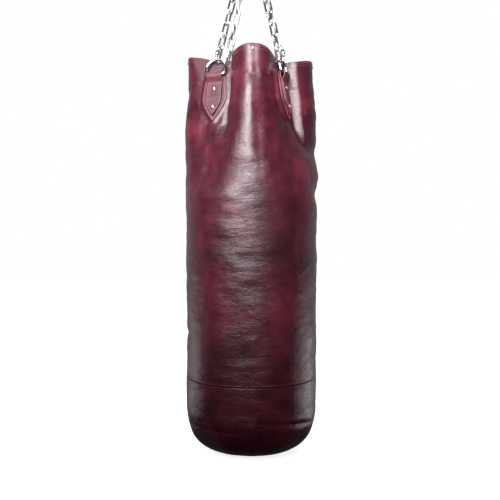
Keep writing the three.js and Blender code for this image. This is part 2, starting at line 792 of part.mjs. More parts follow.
// ---------- assembly ----------

const bag = new THREE.Group();

function add(name, geometry, material, matrix) {
  const mesh = new THREE.Mesh(geometry, material);
  mesh.name = name;
  if (matrix) matrix.decompose(mesh.position, mesh.quaternion, mesh.scale);
  bag.add(mesh);
}

for (const plane of planes) plane.back = leafBack(plane);
const tabPlaces = planes.map(tabRivetPlaces);
const rimPlaces = rimRivetPlaces();
const tabDrills = drills(tabPlaces.flat());
const rimDrills = drills(rimPlaces);

add('shell_upper', cut(shellUpper(), [...tabDrills, ...rimDrills]), leather);
add('shell_lower_band', lowerBand(), leather);
add('base_disc', baseDisc(), leather);
add('back_seam_strip', backSeamStrip(), leather);
add('lining', cut(lining(), tabDrills), canvas);
add('mouth_band', cut(mouthBand(), rimDrills), suede);
add('rag_fill', ragFill(), rags);
add('fill_cover', fillCover(), canvas);

rimPlaces.forEach(({ matrix, length }, i) => {
  add(`rim_rivet_${i + 1}`, rivet(RIM_RIVET_HEAD, length), chrome, matrix);
});

/** One hanging tab: leaf, strap and two rivets. */
function addTab(leg) {
  const number = leg + 1;
  const plane = planes[leg];
  const holes = drills(tabPlaces[leg]);
  add(`tab_backing_${number}`, cut(tabBacking(plane), holes), tabLeather);
  add(`tab_strap_${number}`, cut(loopStrap(plane), holes), tabLeather);
  tabPlaces[leg].forEach(({ matrix, length }, i) => {
    const place = i === 0 ? 'upper' : 'lower';
    add(`tab_rivet_${number}_${place}`, rivet(RIVET_HEAD, length), chrome, matrix);
  });
}

/** One D-ring and the chain leg above it. */
function addLeg(leg) {
  const number = leg + 1;
  const plane = planes[leg];
  const bar = new THREE.Vector3(0, 0, barOffset(plane)).applyMatrix4(plane.matrix);
  const slot = LEG_SLOTS[leg];
  const rise = RING_RADIUS - Math.sqrt(RING_RADIUS ** 2 - slot ** 2);
  const hold = new THREE.Vector3(slot, 0, RING_HEIGHT + rise);

  const up = hold.clone().sub(bar);
  up.addScaledVector(plane.across, -up.dot(plane.across)).normalize();
  const face = up.clone().cross(plane.across).normalize();
  const centre = bar.clone().addScaledVector(up, D_STRAIGHT);
  add(`d_ring_${number}`, dRing(), chrome, placement(plane.across, face, up, bar));

  const along = hold.clone().sub(centre);
  const length = along.length();
  along.normalize();
  const lowest = D_HALF - D_WIRE;
  const nominal = lowest + QUICK_PITCH + LINKS * LINK_PITCH - RING_WIRE;
  const bearings = (LINKS - 1) * BEARING;
  const slack = (nominal - bearings - length) / OPEN_CONTACTS;

  const first = along.clone().cross(plane.across).normalize();
  const firstNormal = first.clone().cross(along).normalize();
  const lastNormal = new THREE.Vector3(1, 0, 0);
  lastNormal.addScaledVector(along, -lastNormal.dot(along)).normalize();
  const turned = Math.atan2(lastNormal.dot(first), lastNormal.dot(firstNormal));
  const quarter = TURN / 4;
  const whole = Math.round((turned - LINKS * quarter) / Math.PI) * Math.PI;
  const step = (turned - whole) / LINKS;

  const places = [];
  let start = lowest - slack;
  for (let i = 0; i <= LINKS; i++) {
    const pitch = i === 0 ? QUICK_PITCH : LINK_PITCH;
    const middle = centre.clone().addScaledVector(along, start + pitch / 2);
    const angle = i * step;
    const normal = firstNormal.clone().multiplyScalar(Math.cos(angle));
    normal.addScaledVector(first, Math.sin(angle));
    const width = normal.clone().cross(along).normalize();
    places.push(placement(width, normal, along, middle));
    start += i === 0 || i === LINKS ? pitch - slack : pitch - BEARING;
  }
  const [quickPlace, ...linkPlaces] = places;
  add(`quick_link_${number}`, quickLink(), chrome, quickPlace);
  add(`quick_nut_${number}`, quickNut(), chrome, quickPlace);
  const links = linkPlaces.map((linkPlace) => chainLink().applyMatrix4(linkPlace));
  add(`chain_${number}`, join(links), chrome);
}

for (let leg = 0; leg < LEGS; leg++) {
  addTab(leg);
  addLeg(leg);
}

const up = new THREE.Vector3(0, 0, 1);
const alongX = new THREE.Vector3(1, 0, 0);
const alongY = new THREE.Vector3(0, 1, 0);
const quarterTurn = placement(alongY, alongX.clone().negate(), up, new THREE.Vector3());

function raised(height, matrix = new THREE.Matrix4()) {
  return new THREE.Matrix4().makeTranslation(0, 0, height).multiply(matrix);
}

const bowHeight = RING_HEIGHT + 2 * RING_RADIUS - RING_WIRE - BOW_WIRE - GAP;
const bossBottom = bowHeight + BOW_HALF + BOW_STRAIGHT;
const bossTop = bossBottom + BOSS_HEIGHT;
const collarBottom = bossTop + WASHER_HEIGHT + 2 * GAP;
const eyeHeight = collarBottom + COLLAR_HEIGHT + EYE_RADIUS + EYE_WIRE - EYE_SINK;
const nutBottom = bossBottom - SWIVEL_NUT_HEIGHT - GAP;
const shankBottom = nutBottom - BOLT_OVERRUN;
const hookHeight = eyeHeight + EYE_RADIUS - EYE_WIRE - HOOK_WIRE - GAP;
const hangHeight = hookHeight + HOOK_LENGTH - HOOK_WIRE;

add('collector_ring', collectorRing(), chrome, raised(RING_HEIGHT + RING_RADIUS));
add('swivel_bow', swivelBow(), chrome, raised(bowHeight, quarterTurn));
const swivelNut = hexNut(SWIVEL_NUT_RADIUS, BOLT_HOLE, nutBottom, SWIVEL_NUT_HEIGHT);
add('swivel_nut', swivelNut, zinc);
add('thrust_washer', thrustWasher(bossTop + GAP), zinc);
const swivelEye = eyeBolt(shankBottom - eyeHeight, collarBottom - eyeHeight);
add('swivel_eye', swivelEye, chrome, raised(eyeHeight, quarterTurn));
add('snap_hook', snapHook(), chrome, raised(hookHeight));

const gate = gateLine();
const gateUp = new THREE.Vector3(gate.along.x, 0, gate.along.y);
const gateSide = alongY.clone().cross(gateUp).normalize();
const gatePlace = new THREE.Vector3(gate.pin.x, 0, gate.pin.y + hookHeight);
const gateFrame = placement(gateSide, alongY, gateUp, gatePlace);
add('snap_gate', snapGate(), chrome, gateFrame);
add('gate_pin', gatePin(), zinc, gateFrame);

bag.position.z = -hangHeight;

export default bag;
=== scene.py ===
import json
import math

import bpy
import numpy as np
from mathutils import Matrix, Vector, noise


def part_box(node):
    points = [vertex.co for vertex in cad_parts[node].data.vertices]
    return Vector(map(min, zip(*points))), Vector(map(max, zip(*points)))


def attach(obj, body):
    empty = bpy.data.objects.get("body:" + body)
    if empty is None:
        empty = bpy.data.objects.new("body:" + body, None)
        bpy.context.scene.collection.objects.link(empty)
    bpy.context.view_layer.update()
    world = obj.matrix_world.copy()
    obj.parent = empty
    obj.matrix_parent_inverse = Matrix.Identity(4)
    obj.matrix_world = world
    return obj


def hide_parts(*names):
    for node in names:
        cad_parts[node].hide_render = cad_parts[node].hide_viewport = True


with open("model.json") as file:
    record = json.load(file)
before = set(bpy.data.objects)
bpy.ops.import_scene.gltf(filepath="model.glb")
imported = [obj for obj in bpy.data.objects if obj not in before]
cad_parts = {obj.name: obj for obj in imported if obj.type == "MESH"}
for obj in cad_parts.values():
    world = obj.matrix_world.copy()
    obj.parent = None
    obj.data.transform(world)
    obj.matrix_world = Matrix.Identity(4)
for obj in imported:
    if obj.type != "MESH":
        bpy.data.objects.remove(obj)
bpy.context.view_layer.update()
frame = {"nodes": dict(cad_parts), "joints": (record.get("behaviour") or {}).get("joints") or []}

# ---------------------------------------------------------------- driving sizes, in metres

TURN = 2 * math.pi
LEGS = (1, 2, 3, 4)
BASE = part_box("base_disc")[0].z  # the underside of the bag
AXIS = Vector((0, 0, 1))

RADIUS = 0.170
RIM = 1.000
LEATHER = 0.003
LOBE_ANGLE = math.radians(1.5)  # from the front to the top of the rim's first rise
LOBE_RISE = 0.008
VALLEY_DROP = 0.016
VALLEY_DEPTH = 0.062
MOUTH_START = 0.640
FULL_PINCH = 0.950
SEAM_HEIGHT = 0.180  # between the lower band and the upper panel
FLAT_RADIUS = 0.102
CORNER_HEIGHT = 0.100
BASE_RADIUS = 0.118
FILL_HEIGHT = 0.690

COLUMNS = 320  # points round the leather
ROW_PITCH = 0.003
CORNER_STEPS = 48

# ---------------------------------------------------------------- mesh helpers


def new_object(name, points, faces):
    mesh = bpy.data.meshes.new(name)
    mesh.from_pydata([tuple(p) for p in points], [], faces)
    mesh.validate()
    mesh.polygons.foreach_set("use_smooth", [True] * len(mesh.polygons))
    mesh.update()
    made = bpy.data.objects.new(name, mesh)
    bpy.context.scene.collection.objects.link(made)
    return made


def grid_faces(rings, size, closed=False):
    """Quads between rings of points. closed joins the last ring to the first."""
    faces = []
    for i in range(rings if closed else rings - 1):
        for j in range(size):
            corners = ((i, j), (i, j + 1), (i + 1, j + 1), (i + 1, j))
            faces.append(tuple(r % rings * size + c % size for r, c in corners))
    return faces


def loft(rings, closed=False):
    """Points and faces through rings of points. An open loft has both its ends filled."""
    size = len(rings[0])
    faces = grid_faces(len(rings), size, closed)
    if not closed:
        faces.append(tuple(reversed(range(size))))
        faces.append(tuple(range((len(rings) - 1) * size, len(rings) * size)))
    return [p for ring in rings for p in ring], faces


def located(shape, matrix):
    """The points and faces of a shape, moved by a matrix."""
    points, faces = shape
    return [matrix @ Vector(p) for p in points], faces


def assembled(name, *shapes):
    """One object from several shapes."""
    points = []
    faces = []
    for shape_points, shape_faces in shapes:
        start = len(points)
        points += shape_points
        faces += [tuple(start + i for i in face) for face in shape_faces]
    return new_object(name, points, faces)


def tube(path, radius, sides=20, closed=False, up=None):
    """A round tube along a path."""
    path = [Vector(p) for p in path]
    count = len(path)
    side = up
    rings = []
    for i, place in enumerate(path):
        before = path[i - 1] if closed or i > 0 else place
        after = path[(i + 1) % count] if closed or i < count - 1 else place
        along = (after - before).normalized()
        if side is None:
            side = along.orthogonal()
        side = (side - along * side.dot(along)).normalized()
        across = along.cross(side)
        turns = [TURN * j / sides for j in range(sides)]
        rings.append([place + radius * (math.cos(t) * side + math.sin(t) * across) for t in turns])
    return loft(rings, closed)


def lathe(profile, segments):
    """A profile of (radius, height) pairs turned about Z. Radius 0 at an end becomes a pole."""
    points = []
    rings = []
    for radius, height in profile:
        count = 1 if radius == 0 else segments
        rings.append(list(range(len(points), len(points) + count)))
        for j in range(count):
            turn = TURN * j / segments
            points.append(Vector((radius * math.cos(turn), radius * math.sin(turn), height)))
    faces = []
    for low, high in zip(rings, rings[1:]):
        for j in range(segments):
            side = (j + 1) % segments
            if len(low) == 1:
                faces.append((low[0], high[side], high[j]))
            elif len(high) == 1:
                faces.append((low[j], low[side], high[0]))
            else:
                faces.append((low[j], low[side], high[side], high[j]))
    return points, faces


def ring_lathe(profile, segments):
    """A closed profile turned about Z, as a washer is."""
    points, _ = lathe(profile, segments)
    return points, grid_faces(len(profile), segments, closed=True)


def arc(centre, radius, start, end, steps):
    """Points (x, z) of an arc, both ends included, with angles in turns of a circle."""
    turns = [TURN * (start + (end - start) * i / steps) for i in range(steps + 1)]
    return [(centre[0] + radius * math.cos(t), centre[1] + radius * math.sin(t)) for t in turns]


def upright(pairs):
    """(x, z) pairs as points of the XZ plane."""
    return [Vector((x, 0, z)) for x, z in pairs]


def axes(x_axis, y_axis, z_axis, place):
    matrix = Matrix((x_axis, y_axis, z_axis)).transposed().to_4x4()
    matrix.translation = place
    return matrix


def shifted(x=0.0, y=0.0, z=0.0):
    return Matrix.Translation((x, y, z))


def smooth_step(low, high, value):
    """0 at low and 1 at high, eased at both ends. low may be the larger."""
    share = np.clip((value - low) / (high - low), 0, 1)
    return share * share * (3 - 2 * share)


def hill(value, centre, width):
    return np.exp(-(((value - centre) / width) ** 2))


def turned(angle, centre):
    """The angle from a centre, between minus and plus half a turn."""
    return (angle - centre + math.pi) % TURN - math.pi


def sample_noise(points, scale):
    """Smooth noise at each point. scale is a number or one per axis, in waves a metre."""
    scaled = np.asarray(points) * scale
    return np.array([noise.noise(Vector(p)) for p in scaled])


# ---------------------------------------------------------------- frames of the fittings


def joint(name):
    return next(j for j in frame["joints"] if j["name"] == name)


def node_points(name):
    mesh = frame["nodes"][name].data
    points = np.empty(len(mesh.vertices) * 3)
    mesh.vertices.foreach_get("co", points)
    return points.reshape(-1, 3)


def flat_frame(name, across):
    """The plane of a flat node, as its upward and outward directions."""
    points = node_points(name)
    centre = points.mean(axis=0)
    normal = Vector(np.linalg.svd(points - centre, full_matrices=False)[2][2])
    if normal.dot(Vector((centre[0], centre[1], 0))) < 0:
        normal.negate()
    normal = (normal - across * normal.dot(across)).normalized()
    return normal.cross(across), normal


class Leg:
    """The frames of one hanging tab, its D-ring and the chain above."""

    def __init__(self, number):
        self.number = number
        tilt = joint(f"d_ring_{number}_tilt")
        twist = joint(f"chain_leg_{number}_twist")
        self.across = Vector(tilt["axis"]).normalized()
        self.bar = Vector(tilt["pos_m"])
        self.along = Vector(twist["axis"]).normalized()
        self.quick = Vector(twist["pos_m"])
        self.up, self.out = flat_frame(f"tab_backing_{number}", self.across)
        self.ring_up, _ = flat_frame(f"d_ring_{number}", self.across)
        leaf = node_points(f"tab_backing_{number}") - np.array(self.bar)
        self.leaf_back = (leaf @ np.array(self.out)).min()  # from the bar, along out
        nut = Vector(node_points(f"quick_nut_{number}").mean(axis=0)) - self.quick
        self.quick_side = (nut - self.along * nut.dot(self.along)).normalized()

    def tab_matrix(self):
        """X across, Y up the tab, Z out of the bag, with the origin at the D-ring's bar."""
        return axes(self.across, self.up, self.out, self.bar)

    def distances(self, points):
        """How far points are across, up and out from the D-ring's bar."""
        relative = points - np.array(self.bar)
        return [relative @ np.array(axis) for axis in (self.across, self.up, self.out)]


legs = [Leg(number) for number in LEGS]

# heights and half-widths of a tab's leaf, measured from the D-ring's bar
LEAF = 0.003
LEAF_TOP = -0.002
LEAF_WAIST = -0.062
LEAF_TIP = -0.118
LEAF_TOP_HALF = 0.027
LEAF_HALF = 0.033
TIP_HALF = 0.0016


def leaf_half(up):
    if up > LEAF_WAIST:
        share = (up - LEAF_WAIST) / (LEAF_TOP - LEAF_WAIST)
        return LEAF_HALF + (LEAF_TOP_HALF - LEAF_HALF) * share**1.4
    share = (LEAF_WAIST - up) / (LEAF_WAIST - LEAF_TIP)
    return LEAF_HALF + (TIP_HALF - LEAF_HALF) * share**1.45


LEAF_UPS = np.linspace(LEAF_TIP, LEAF_TOP, 30)
LEAF_HALVES = np.array([leaf_half(up) for up in LEAF_UPS])

# ---------------------------------------------------------------- the leather surface

FLAT_BEFORE = math.radians(34)  # the leather lies flat behind a tab from here
FLAT_AFTER = math.radians(19)  # to here
FLAT_FADE = 0.10  # of a radian
FLAT_EASE = 0.004
LEAST_FACING = 0.2  # keeps the tab's plane at a sensible distance where it turns away
TAB_BOTTOM = 0.835
TAB_MARGIN = 0.003  # the leather's flat seat ends this far inside the leaf's side
TIP_MARGIN = 0.004
TOP_MARGIN = 0.002
SEAT_FADE = 0.012
SEAT_FRONT = 0.015  # a tab moves only the leather this near to it
SEAT_BACK = 0.040
SEAT_SIDE = 0.07
SEAT_GAP = 0.0005  # between the seat and the leaf

# how the lobes lean in at the rim: angle from the front, width in radians, distance
LOBE_LEANS = (
    (0, 0.7, 0.016),
    (math.pi / 2, 0.6, 0.010),
    (-math.pi / 2, 0.6, 0.004),
    (math.pi, 0.7, 0.010),
)

# dents where negative, and bulges: distance, angle from the front and width in degrees, height
# above the underside and its width
LEFT_HOLLOW = (  # under the left tab, above the fill
    (-0.017, -43, 15, 0.706, 0.036),
    (0.004, -38, 16, 0.790, 0.024),
    (0.004, -44, 22, 0.655, 0.022),
    (0.003, -52, 9, 0.780, 0.020),
)
SIDE_BUCKLES = (  # on the right, and a bulge on the left
    (-0.007, 90, 20, 0.765, 0.028),
    (0.004, 88, 24, 0.705, 0.020),
    (-0.008, 84, 18, 0.655, 0.020),
    (0.003, -92, 24, 0.820, 0.050),
)
BACK_BUCKLES = ((-0.006, 140, 16, 0.700, 0.030), (-0.005, 172, 12, 0.660, 0.020))

# crease down the middle of the front lobe with a ridge on each side: distance, degrees from
# the crease and width in degrees
FRONT_CREASE = ((-0.0013, 0.0, 3.0), (0.0010, -8.0, 6.0), (0.0015, 9.0, 5.0))


def rim_height(angle):
    lobe = (1 + np.cos(4 * (angle - LOBE_ANGLE))) / 2
    side = -0.004 * np.sin(angle) * lobe  # the left lobe stands a little higher than the right
    return RIM - VALLEY_DROP + (LOBE_RISE + VALLEY_DROP) * lobe + side


def lobe_inset(angle, height):
    """How far the lobes themselves lean in towards the rim: most at the front."""
    share = np.clip((height - 0.70) / 0.30, 0, 1.05) ** 1.6
    leans = [depth * hill(turned(angle, at), 0, width) for at, width, depth in LOBE_LEANS]
    return share * sum(leans)


def drawn_in(angle, height):
    """How far the mouth's four folds take the leather towards the axis."""
    share = np.clip((height - MOUTH_START) / (FULL_PINCH - MOUTH_START), 0, 1)
    share = 1 - (1 - share**1.35) ** 1.15
    fold = (1 - np.cos(4 * (angle - LOBE_ANGLE))) / 2
    return VALLEY_DEPTH * fold * share


def smooth_least(first, second, ease):
    """The smaller of two values, rounded over where they cross."""
    share = np.clip(0.5 + 0.5 * (second - first) / ease, 0, 1)
    return second + (first - second) * share - ease * share * (1 - share)


def flattened(angle, radius, height):
    """Takes the leather back to the flat plane of each tab where it stands out of it."""
    for leg in legs:
        out = np.array(leg.out)
        middle = leg.bar + leg.out * (leg.leaf_back - LEAF)
        ahead = turned(angle, math.atan2(leg.bar.x, -leg.bar.y))
        facing = np.maximum(np.sin(angle) * out[0] - np.cos(angle) * out[1], LEAST_FACING)
        plane = (middle.dot(leg.out) - (BASE + height) * out[2]) / facing
        inside = smooth_step(-FLAT_BEFORE, -FLAT_BEFORE + FLAT_FADE, ahead)
        inside = inside * (1 - smooth_step(FLAT_AFTER, FLAT_AFTER + FLAT_FADE, ahead))
        inside = inside * smooth_step(TAB_BOTTOM - 0.075, TAB_BOTTOM - 0.005, height)
        flat = smooth_least(radius, plane, FLAT_EASE)
        radius = radius + (flat - radius) * inside
    return radius


def under_tabs(points):
    """Raises the leather to the flat back of each tab, fading out at the tab's edge."""
    moved = points.copy()
    for leg in legs:
        across, up, out = leg.distances(points)
        beside = np.abs(across) - np.interp(up, LEAF_UPS, LEAF_HALVES) + TAB_MARGIN
        beyond = np.maximum(np.maximum(beside, LEAF_TIP + TIP_MARGIN - up), up - TOP_MARGIN)
        weight = 1 - smooth_step(0.0, SEAT_FADE, np.maximum(beyond, 0))
        weight = weight * (out < SEAT_FRONT) * (out > -SEAT_BACK) * (np.abs(across) < SEAT_SIDE)
        shift = weight * (leg.leaf_back - SEAT_GAP - out)
        moved += shift[:, None] * np.array(leg.out)[None, :]
    return moved


def press(shape, degrees, height, dents):
    """Adds dents and bulges to distances outwards."""
    for rise, at, spread, level, reach in dents:
        shape += rise * hill(degrees, at, spread) * hill(height, level, reach)


def front_features(angle, height):
    """Dents, ridges and creases of this bag, as distances outwards."""
    degrees = np.degrees(turned(angle, 0))
    shape = np.zeros_like(angle)
    press(shape, degrees, height, LEFT_HOLLOW)
    crease = 2.2 + 16.0 * (1.0 - height)  # it slants down to the right
    top = smooth_step(0.62, 0.82, height)
    for rise, beside, spread in FRONT_CREASE:
        shape += rise * hill(degrees, crease + beside, spread) * top
    press(shape, degrees, height, SIDE_BUCKLES)
    left_fold = (-0.0025, -80, 16, 0.330 + 0.0004 * degrees, 0.008)
    press(shape, degrees, height, (left_fold,))
    press(shape, np.abs(degrees), height, BACK_BUCKLES)
    return shape


def wrinkles(points, height):
    """Soft waves and fine creases of worn leather, as distances outwards."""
    broad = sample_noise(points, 7.0)
    middle = sample_noise(points, np.array([15.0, 15.0, 21.0]))
    level = sample_noise(points, np.array([17.0, 17.0, 54.0]))
    small = sample_noise(points, np.array([48.0, 48.0, 80.0]))
    sharp = sample_noise(points, np.array([22.0, 22.0, 44.0]))
    above = smooth_step(0.60, 0.70, height)
    worn = smooth_step(-0.15, 0.30, broad)
    line = -(np.clip(1 - np.abs(sharp) / 0.12, 0, 1) ** 2)
    return (
        0.0022 * broad
        + (0.0019 + 0.0008 * above) * middle
        + 0.0008 * level
        + 0.0003 * small
        + (0.0001 + 0.0004 * worn) * line
    )


def radial(angle, radius, height):
    """Points at an angle from the front, anticlockwise, with heights above the underside."""
    return np.stack([radius * np.sin(angle), -radius * np.cos(angle), BASE + height], axis=-1)


HEM = 0.013
HEM_STEP = 0.0009
INSIDE_STEP = 4  # rows of the outside for each row of a skin's inside


def upper_surface():
    """Points of the outside of the upper panel, as an array of rows, columns and axes."""
    rows = int((RIM - SEAM_HEIGHT) / ROW_PITCH)
    share = np.linspace(0, 1, rows + 1)[:, None]
    angle = (np.arange(COLUMNS) * TURN / COLUMNS)[None, :]
    rim = rim_height(angle)
    height = SEAM_HEIGHT + share * (rim - SEAM_HEIGHT)
    angle = np.broadcast_to(angle, height.shape)
    rim = np.broadcast_to(rim, height.shape)
    tucked = 0.0004 * hill(height, SEAM_HEIGHT, 0.0060)
    radius = RADIUS - drawn_in(angle, height) - lobe_inset(angle, height)
    points = radial(angle, radius, height).reshape(-1, 3)
    calm = 1 - 0.7 * smooth_step(RIM - 0.06, RIM, height)
    waves = wrinkles(points, height.reshape(-1)).reshape(height.shape) * calm
    radius = radius + front_features(angle, height) - tucked + waves
    radius = flattened(angle, radius, height)
    hem = HEM_STEP * smooth_step(0.0, 0.0015, height - (rim - HEM))
    points = under_tabs(radial(angle, radius + hem, height).reshape(-1, 3))
    return points.reshape(height.shape + (3,))


def inward(surface, distance):
    """A copy of a surface moved towards the axis."""
    moved = surface.copy()
    radius = np.hypot(surface[..., 0], surface[..., 1])
    factor = (radius - distance) / radius
    moved[..., 0] *= factor
    moved[..., 1] *= factor
    return moved


def skin(name, outside):
    """A closed leather skin: the outside, a rounded upper edge and a plainer inside."""
    inside = inward(outside, LEATHER)
    lip = (outside[-1] + inside[-1]) / 2
    lip[:, 2] += LEATHER * 0.35
    keep = list(range(0, len(outside), INSIDE_STEP))
    if keep[-1] != len(outside) - 1:
        keep.append(len(outside) - 1)
    rings = list(outside) + [lip] + [inside[i] for i in reversed(keep)]
    return new_object(name, *loft(rings, closed=True))


def corner_profile(first_radius, steps):
    """(radius, height) pairs of the rounded lower corner."""
    wide = RADIUS - FLAT_RADIUS
    start = math.asin((first_radius - FLAT_RADIUS) / wide)
    turns = np.linspace(start, math.pi / 2, steps + 1)
    radius = FLAT_RADIUS + wide * np.sin(turns)
    height = CORNER_HEIGHT * (1 - np.cos(turns))
    return radius, height


def lower_surface():
    """Points of the outside of the lower band."""
    radius, height = corner_profile(BASE_RADIUS, CORNER_STEPS)
    rise = np.arange(CORNER_HEIGHT + ROW_PITCH, SEAM_HEIGHT - 0.006, ROW_PITCH)
    rise = np.append(rise, SEAM_HEIGHT + np.arange(-0.005, 0.007, 0.001))
    radius = np.concatenate([radius, np.full(len(rise), RADIUS)])
    height = np.concatenate([height, rise])
    angle = np.arange(COLUMNS) * TURN / COLUMNS
    radius = radius[:, None] * np.ones_like(angle)[None, :]
    height = height[:, None] * np.ones_like(angle)[None, :]
    angle = np.broadcast_to(angle[None, :], radius.shape)
    degrees = np.degrees(turned(angle, 0))
    gather = np.cos(11 * angle + 1.5 * np.sin(3 * angle))
    radius = radius + 0.0020 * gather * hill(height, 0.035, 0.030)
    slant = 0.084 - 0.0003 * (degrees - 38)
    radius -= 0.0035 * hill(degrees, 38, 22) * hill(height, slant, 0.006)
    radius -= 0.0020 * hill(degrees, -42, 25) * hill(height, 0.070, 0.007)
    radius -= 0.003 * hill(degrees, 75, 42) * smooth_step(0.16, 0.03, height)
    radius -= 0.0031 * smooth_step(SEAM_HEIGHT - 0.0006, SEAM_HEIGHT + 0.0010, height)
    points = radial(angle, radius, height).reshape(-1, 3)
    calm = smooth_step(0.0, 0.05, height.reshape(-1))
    waves = wrinkles(points, height.reshape(-1)) * calm
    points = radial(angle.reshape(-1), radius.reshape(-1) + waves, height.reshape(-1))
    return points.reshape(radius.shape + (3,))


# ---------------------------------------------------------------- materials


def feed(tree, inputs, values):
    """Links or sets inputs by name or number. A colour is given without its alpha."""
    for key, value in values.items():
        socket = inputs[key]
        if hasattr(value, "is_linked"):
            tree.links.new(value, socket)
        else:
            socket.default_value = (*value, 1) if socket.type == "RGBA" else value


def add_node(tree, kind, output, inputs, **settings):
    """Adds a shader node and returns one of its outputs."""
    node = tree.nodes.new("ShaderNode" + kind)
    for name, value in settings.items():
        setattr(node, name, value)
    feed(tree, node.inputs, inputs)
    return node.outputs[output]


def mixed(tree, share, first, second):
    return add_node(tree, "Mix", 2, {0: share, 6: first, 7: second}, data_type="RGBA")


def maths(tree, operation, first, second):
    return add_node(tree, "Math", "Value", {0: first, 1: second}, operation=operation)


class Paint:
    """A material and its procedural textures. Each texture is a node's output."""

    def __init__(self, name, color, roughness, metallic=0.0):
        self.material = bpy.data.materials.new(name)
        self.material.use_nodes = True
        self.tree = self.material.node_tree
        self.where = self.add("TexCoord", "Object", {})
        self.shade({"Base Color": color, "Roughness": roughness, "Metallic": metallic})

    def add(self, kind, output, inputs, **settings):
        return add_node(self.tree, kind, output, inputs, **settings)

    def shade(self, values):
        feed(self.tree, self.tree.nodes["Principled BSDF"].inputs, values)

    def noise(self, scale, detail=4.0, stretch=None, distortion=0.0):
        where = self.where
        if stretch is not None:
            where = self.add("Mapping", "Vector", {"Vector": where, "Scale": stretch})
        inputs = {"Vector": where, "Scale": scale, "Detail": detail, "Distortion": distortion}
        return self.add("TexNoise", "Fac", inputs)

    def waves(self, direction, scale, distortion=0.0):
        inputs = {"Vector": self.where, "Scale": scale, "Distortion": distortion}
        return self.add("TexWave", "Fac", inputs, bands_direction=direction)

    def cells(self, scale, output="Color", feature="F1"):
        inputs = {"Vector": self.where, "Scale": scale}
        return self.add("TexVoronoi", output, inputs, feature=feature)

    def blend(self, *shares):
        """The sum of (texture, share) pairs."""
        total = None
        for texture, share in shares:
            part = maths(self.tree, "MULTIPLY", texture, share)
            total = part if total is None else maths(self.tree, "ADD", total, part)
        return total

    def levels(self, value, low, high):
        """Maps 0 to 1 onto low to high."""
        return self.add("MapRange", "Result", {"Value": value, "To Min": low, "To Max": high})

    def ramp(self, value, *stops):
        """A colour ramp through (position, colour) stops."""
        node = self.tree.nodes.new("ShaderNodeValToRGB")
        elements = node.color_ramp.elements
        while len(elements) < len(stops):
            elements.new(0.5)
        for element, (position, color) in zip(elements, stops):
            element.position = position
            element.color = (*color, 1)
        feed(self.tree, node.inputs, {"Fac": value})
        return node.outputs["Color"]

    def bump(self, height, strength, distance, below=None):
        inputs = {"Height": height, "Strength": strength, "Distance": distance}
        if below is not None:
            inputs["Normal"] = below
        normal = self.add("Bump", "Normal", inputs)
        self.shade({"Normal": normal})
        return normal


def leather_material(name, dark, middle, bright, roughness):
    """Glossy pull-up leather: mottled colour, fine pebble grain and hairline creases."""
    paint = Paint(name, middle, roughness)
    clouds = paint.noise(7.5, 5.0, distortion=0.4)
    mottle = paint.noise(34.0, 6.0, stretch=(1, 1, 0.7))
    specks = paint.noise(160.0, 3.0)
    blend = paint.blend((clouds, 0.62), (mottle, 0.30), (specks, 0.08))
    paint.shade(
        {
            "Base Color": paint.ramp(blend, (0.36, dark), (0.50, middle), (0.64, bright)),
            "Roughness": paint.levels(mottle, roughness - 0.10, roughness + 0.14),
            "Specular IOR Level": 0.55,
            "Coat Weight": 0.08,
            "Coat Roughness": 0.24,
        }
    )
    creases = paint.noise(46.0, 7.0, stretch=(1, 1, 2.6), distortion=0.6)
    below = paint.bump(creases, 0.55, 0.0018)
    pebbles = paint.noise(210.0, 3.0, stretch=(1, 1, 1.6), distortion=0.8)
    below = paint.bump(pebbles, 0.80, 0.0008, below)
    grain = paint.cells(620.0, "Distance", "DISTANCE_TO_EDGE")
    grain = maths(paint.tree, "MINIMUM", grain, 0.25)
    paint.bump(grain, 0.35, 0.0004, below)
    return paint.material


def suede_material():
    paint = Paint("suede", (0.17, 0.085, 0.062), 0.9)
    fibre = paint.noise(420.0, 5.0)
    blend = paint.blend((fibre, 0.4), (paint.noise(18.0), 0.6))
    color = paint.ramp(blend, (0.35, (0.085, 0.036, 0.030)), (0.65, (0.23, 0.12, 0.088)))
    paint.shade({"Base Color": color, "Sheen Weight": 0.25})
    paint.bump(fibre, 0.5, 0.0006)
    return paint.material


def canvas_material():
    """Plain-woven cotton canvas."""
    paint = Paint("canvas", (0.52, 0.46, 0.36), 0.92)
    weave = paint.waves("X", 260.0, 0.6)
    for direction in ("Y", "Z"):
        weave = maths(paint.tree, "MULTIPLY", weave, paint.waves(direction, 260.0, 0.6))
    stain = paint.noise(14.0, 5.0)
    color = paint.ramp(stain, (0.30, (0.33, 0.27, 0.19)), (0.60, (0.55, 0.49, 0.39)))
    worn = paint.levels(weave, 0.0, 0.5)
    paint.shade({"Base Color": mixed(paint.tree, worn, color, (0.68, 0.62, 0.52))})
    paint.bump(weave, 0.6, 0.0006)
    return paint.material


def metal_material(name, color, roughness, spread):
    """Plated metal with faint scratches and dulled patches."""
    paint = Paint(name, color, roughness, 1.0)
    patches = paint.noise(90.0, 5.0)
    light = tuple(min(1.0, c * 1.08) for c in color)
    dull = tuple(c * 0.82 for c in color)
    paint.shade(
        {
            "Base Color": paint.ramp(patches, (0.3, dull), (0.65, light)),
            "Roughness": paint.levels(patches, roughness, roughness + spread),
        }
    )
    paint.bump(paint.noise(300.0, 3.0, stretch=(1, 1, 8)), 0.12, 0.0002)
    return paint.material


def thread_material():
    paint = Paint("thread", (0.25, 0.09, 0.10), 0.55)
    ply = paint.waves("DIAGONAL", 900.0)
    color = paint.ramp(ply, (0.2, (0.16, 0.045, 0.055)), (0.8, (0.42, 0.19, 0.20)))
    paint.shade({"Base Color": color})
    paint.bump(ply, 0.5, 0.0002)
    return paint.material


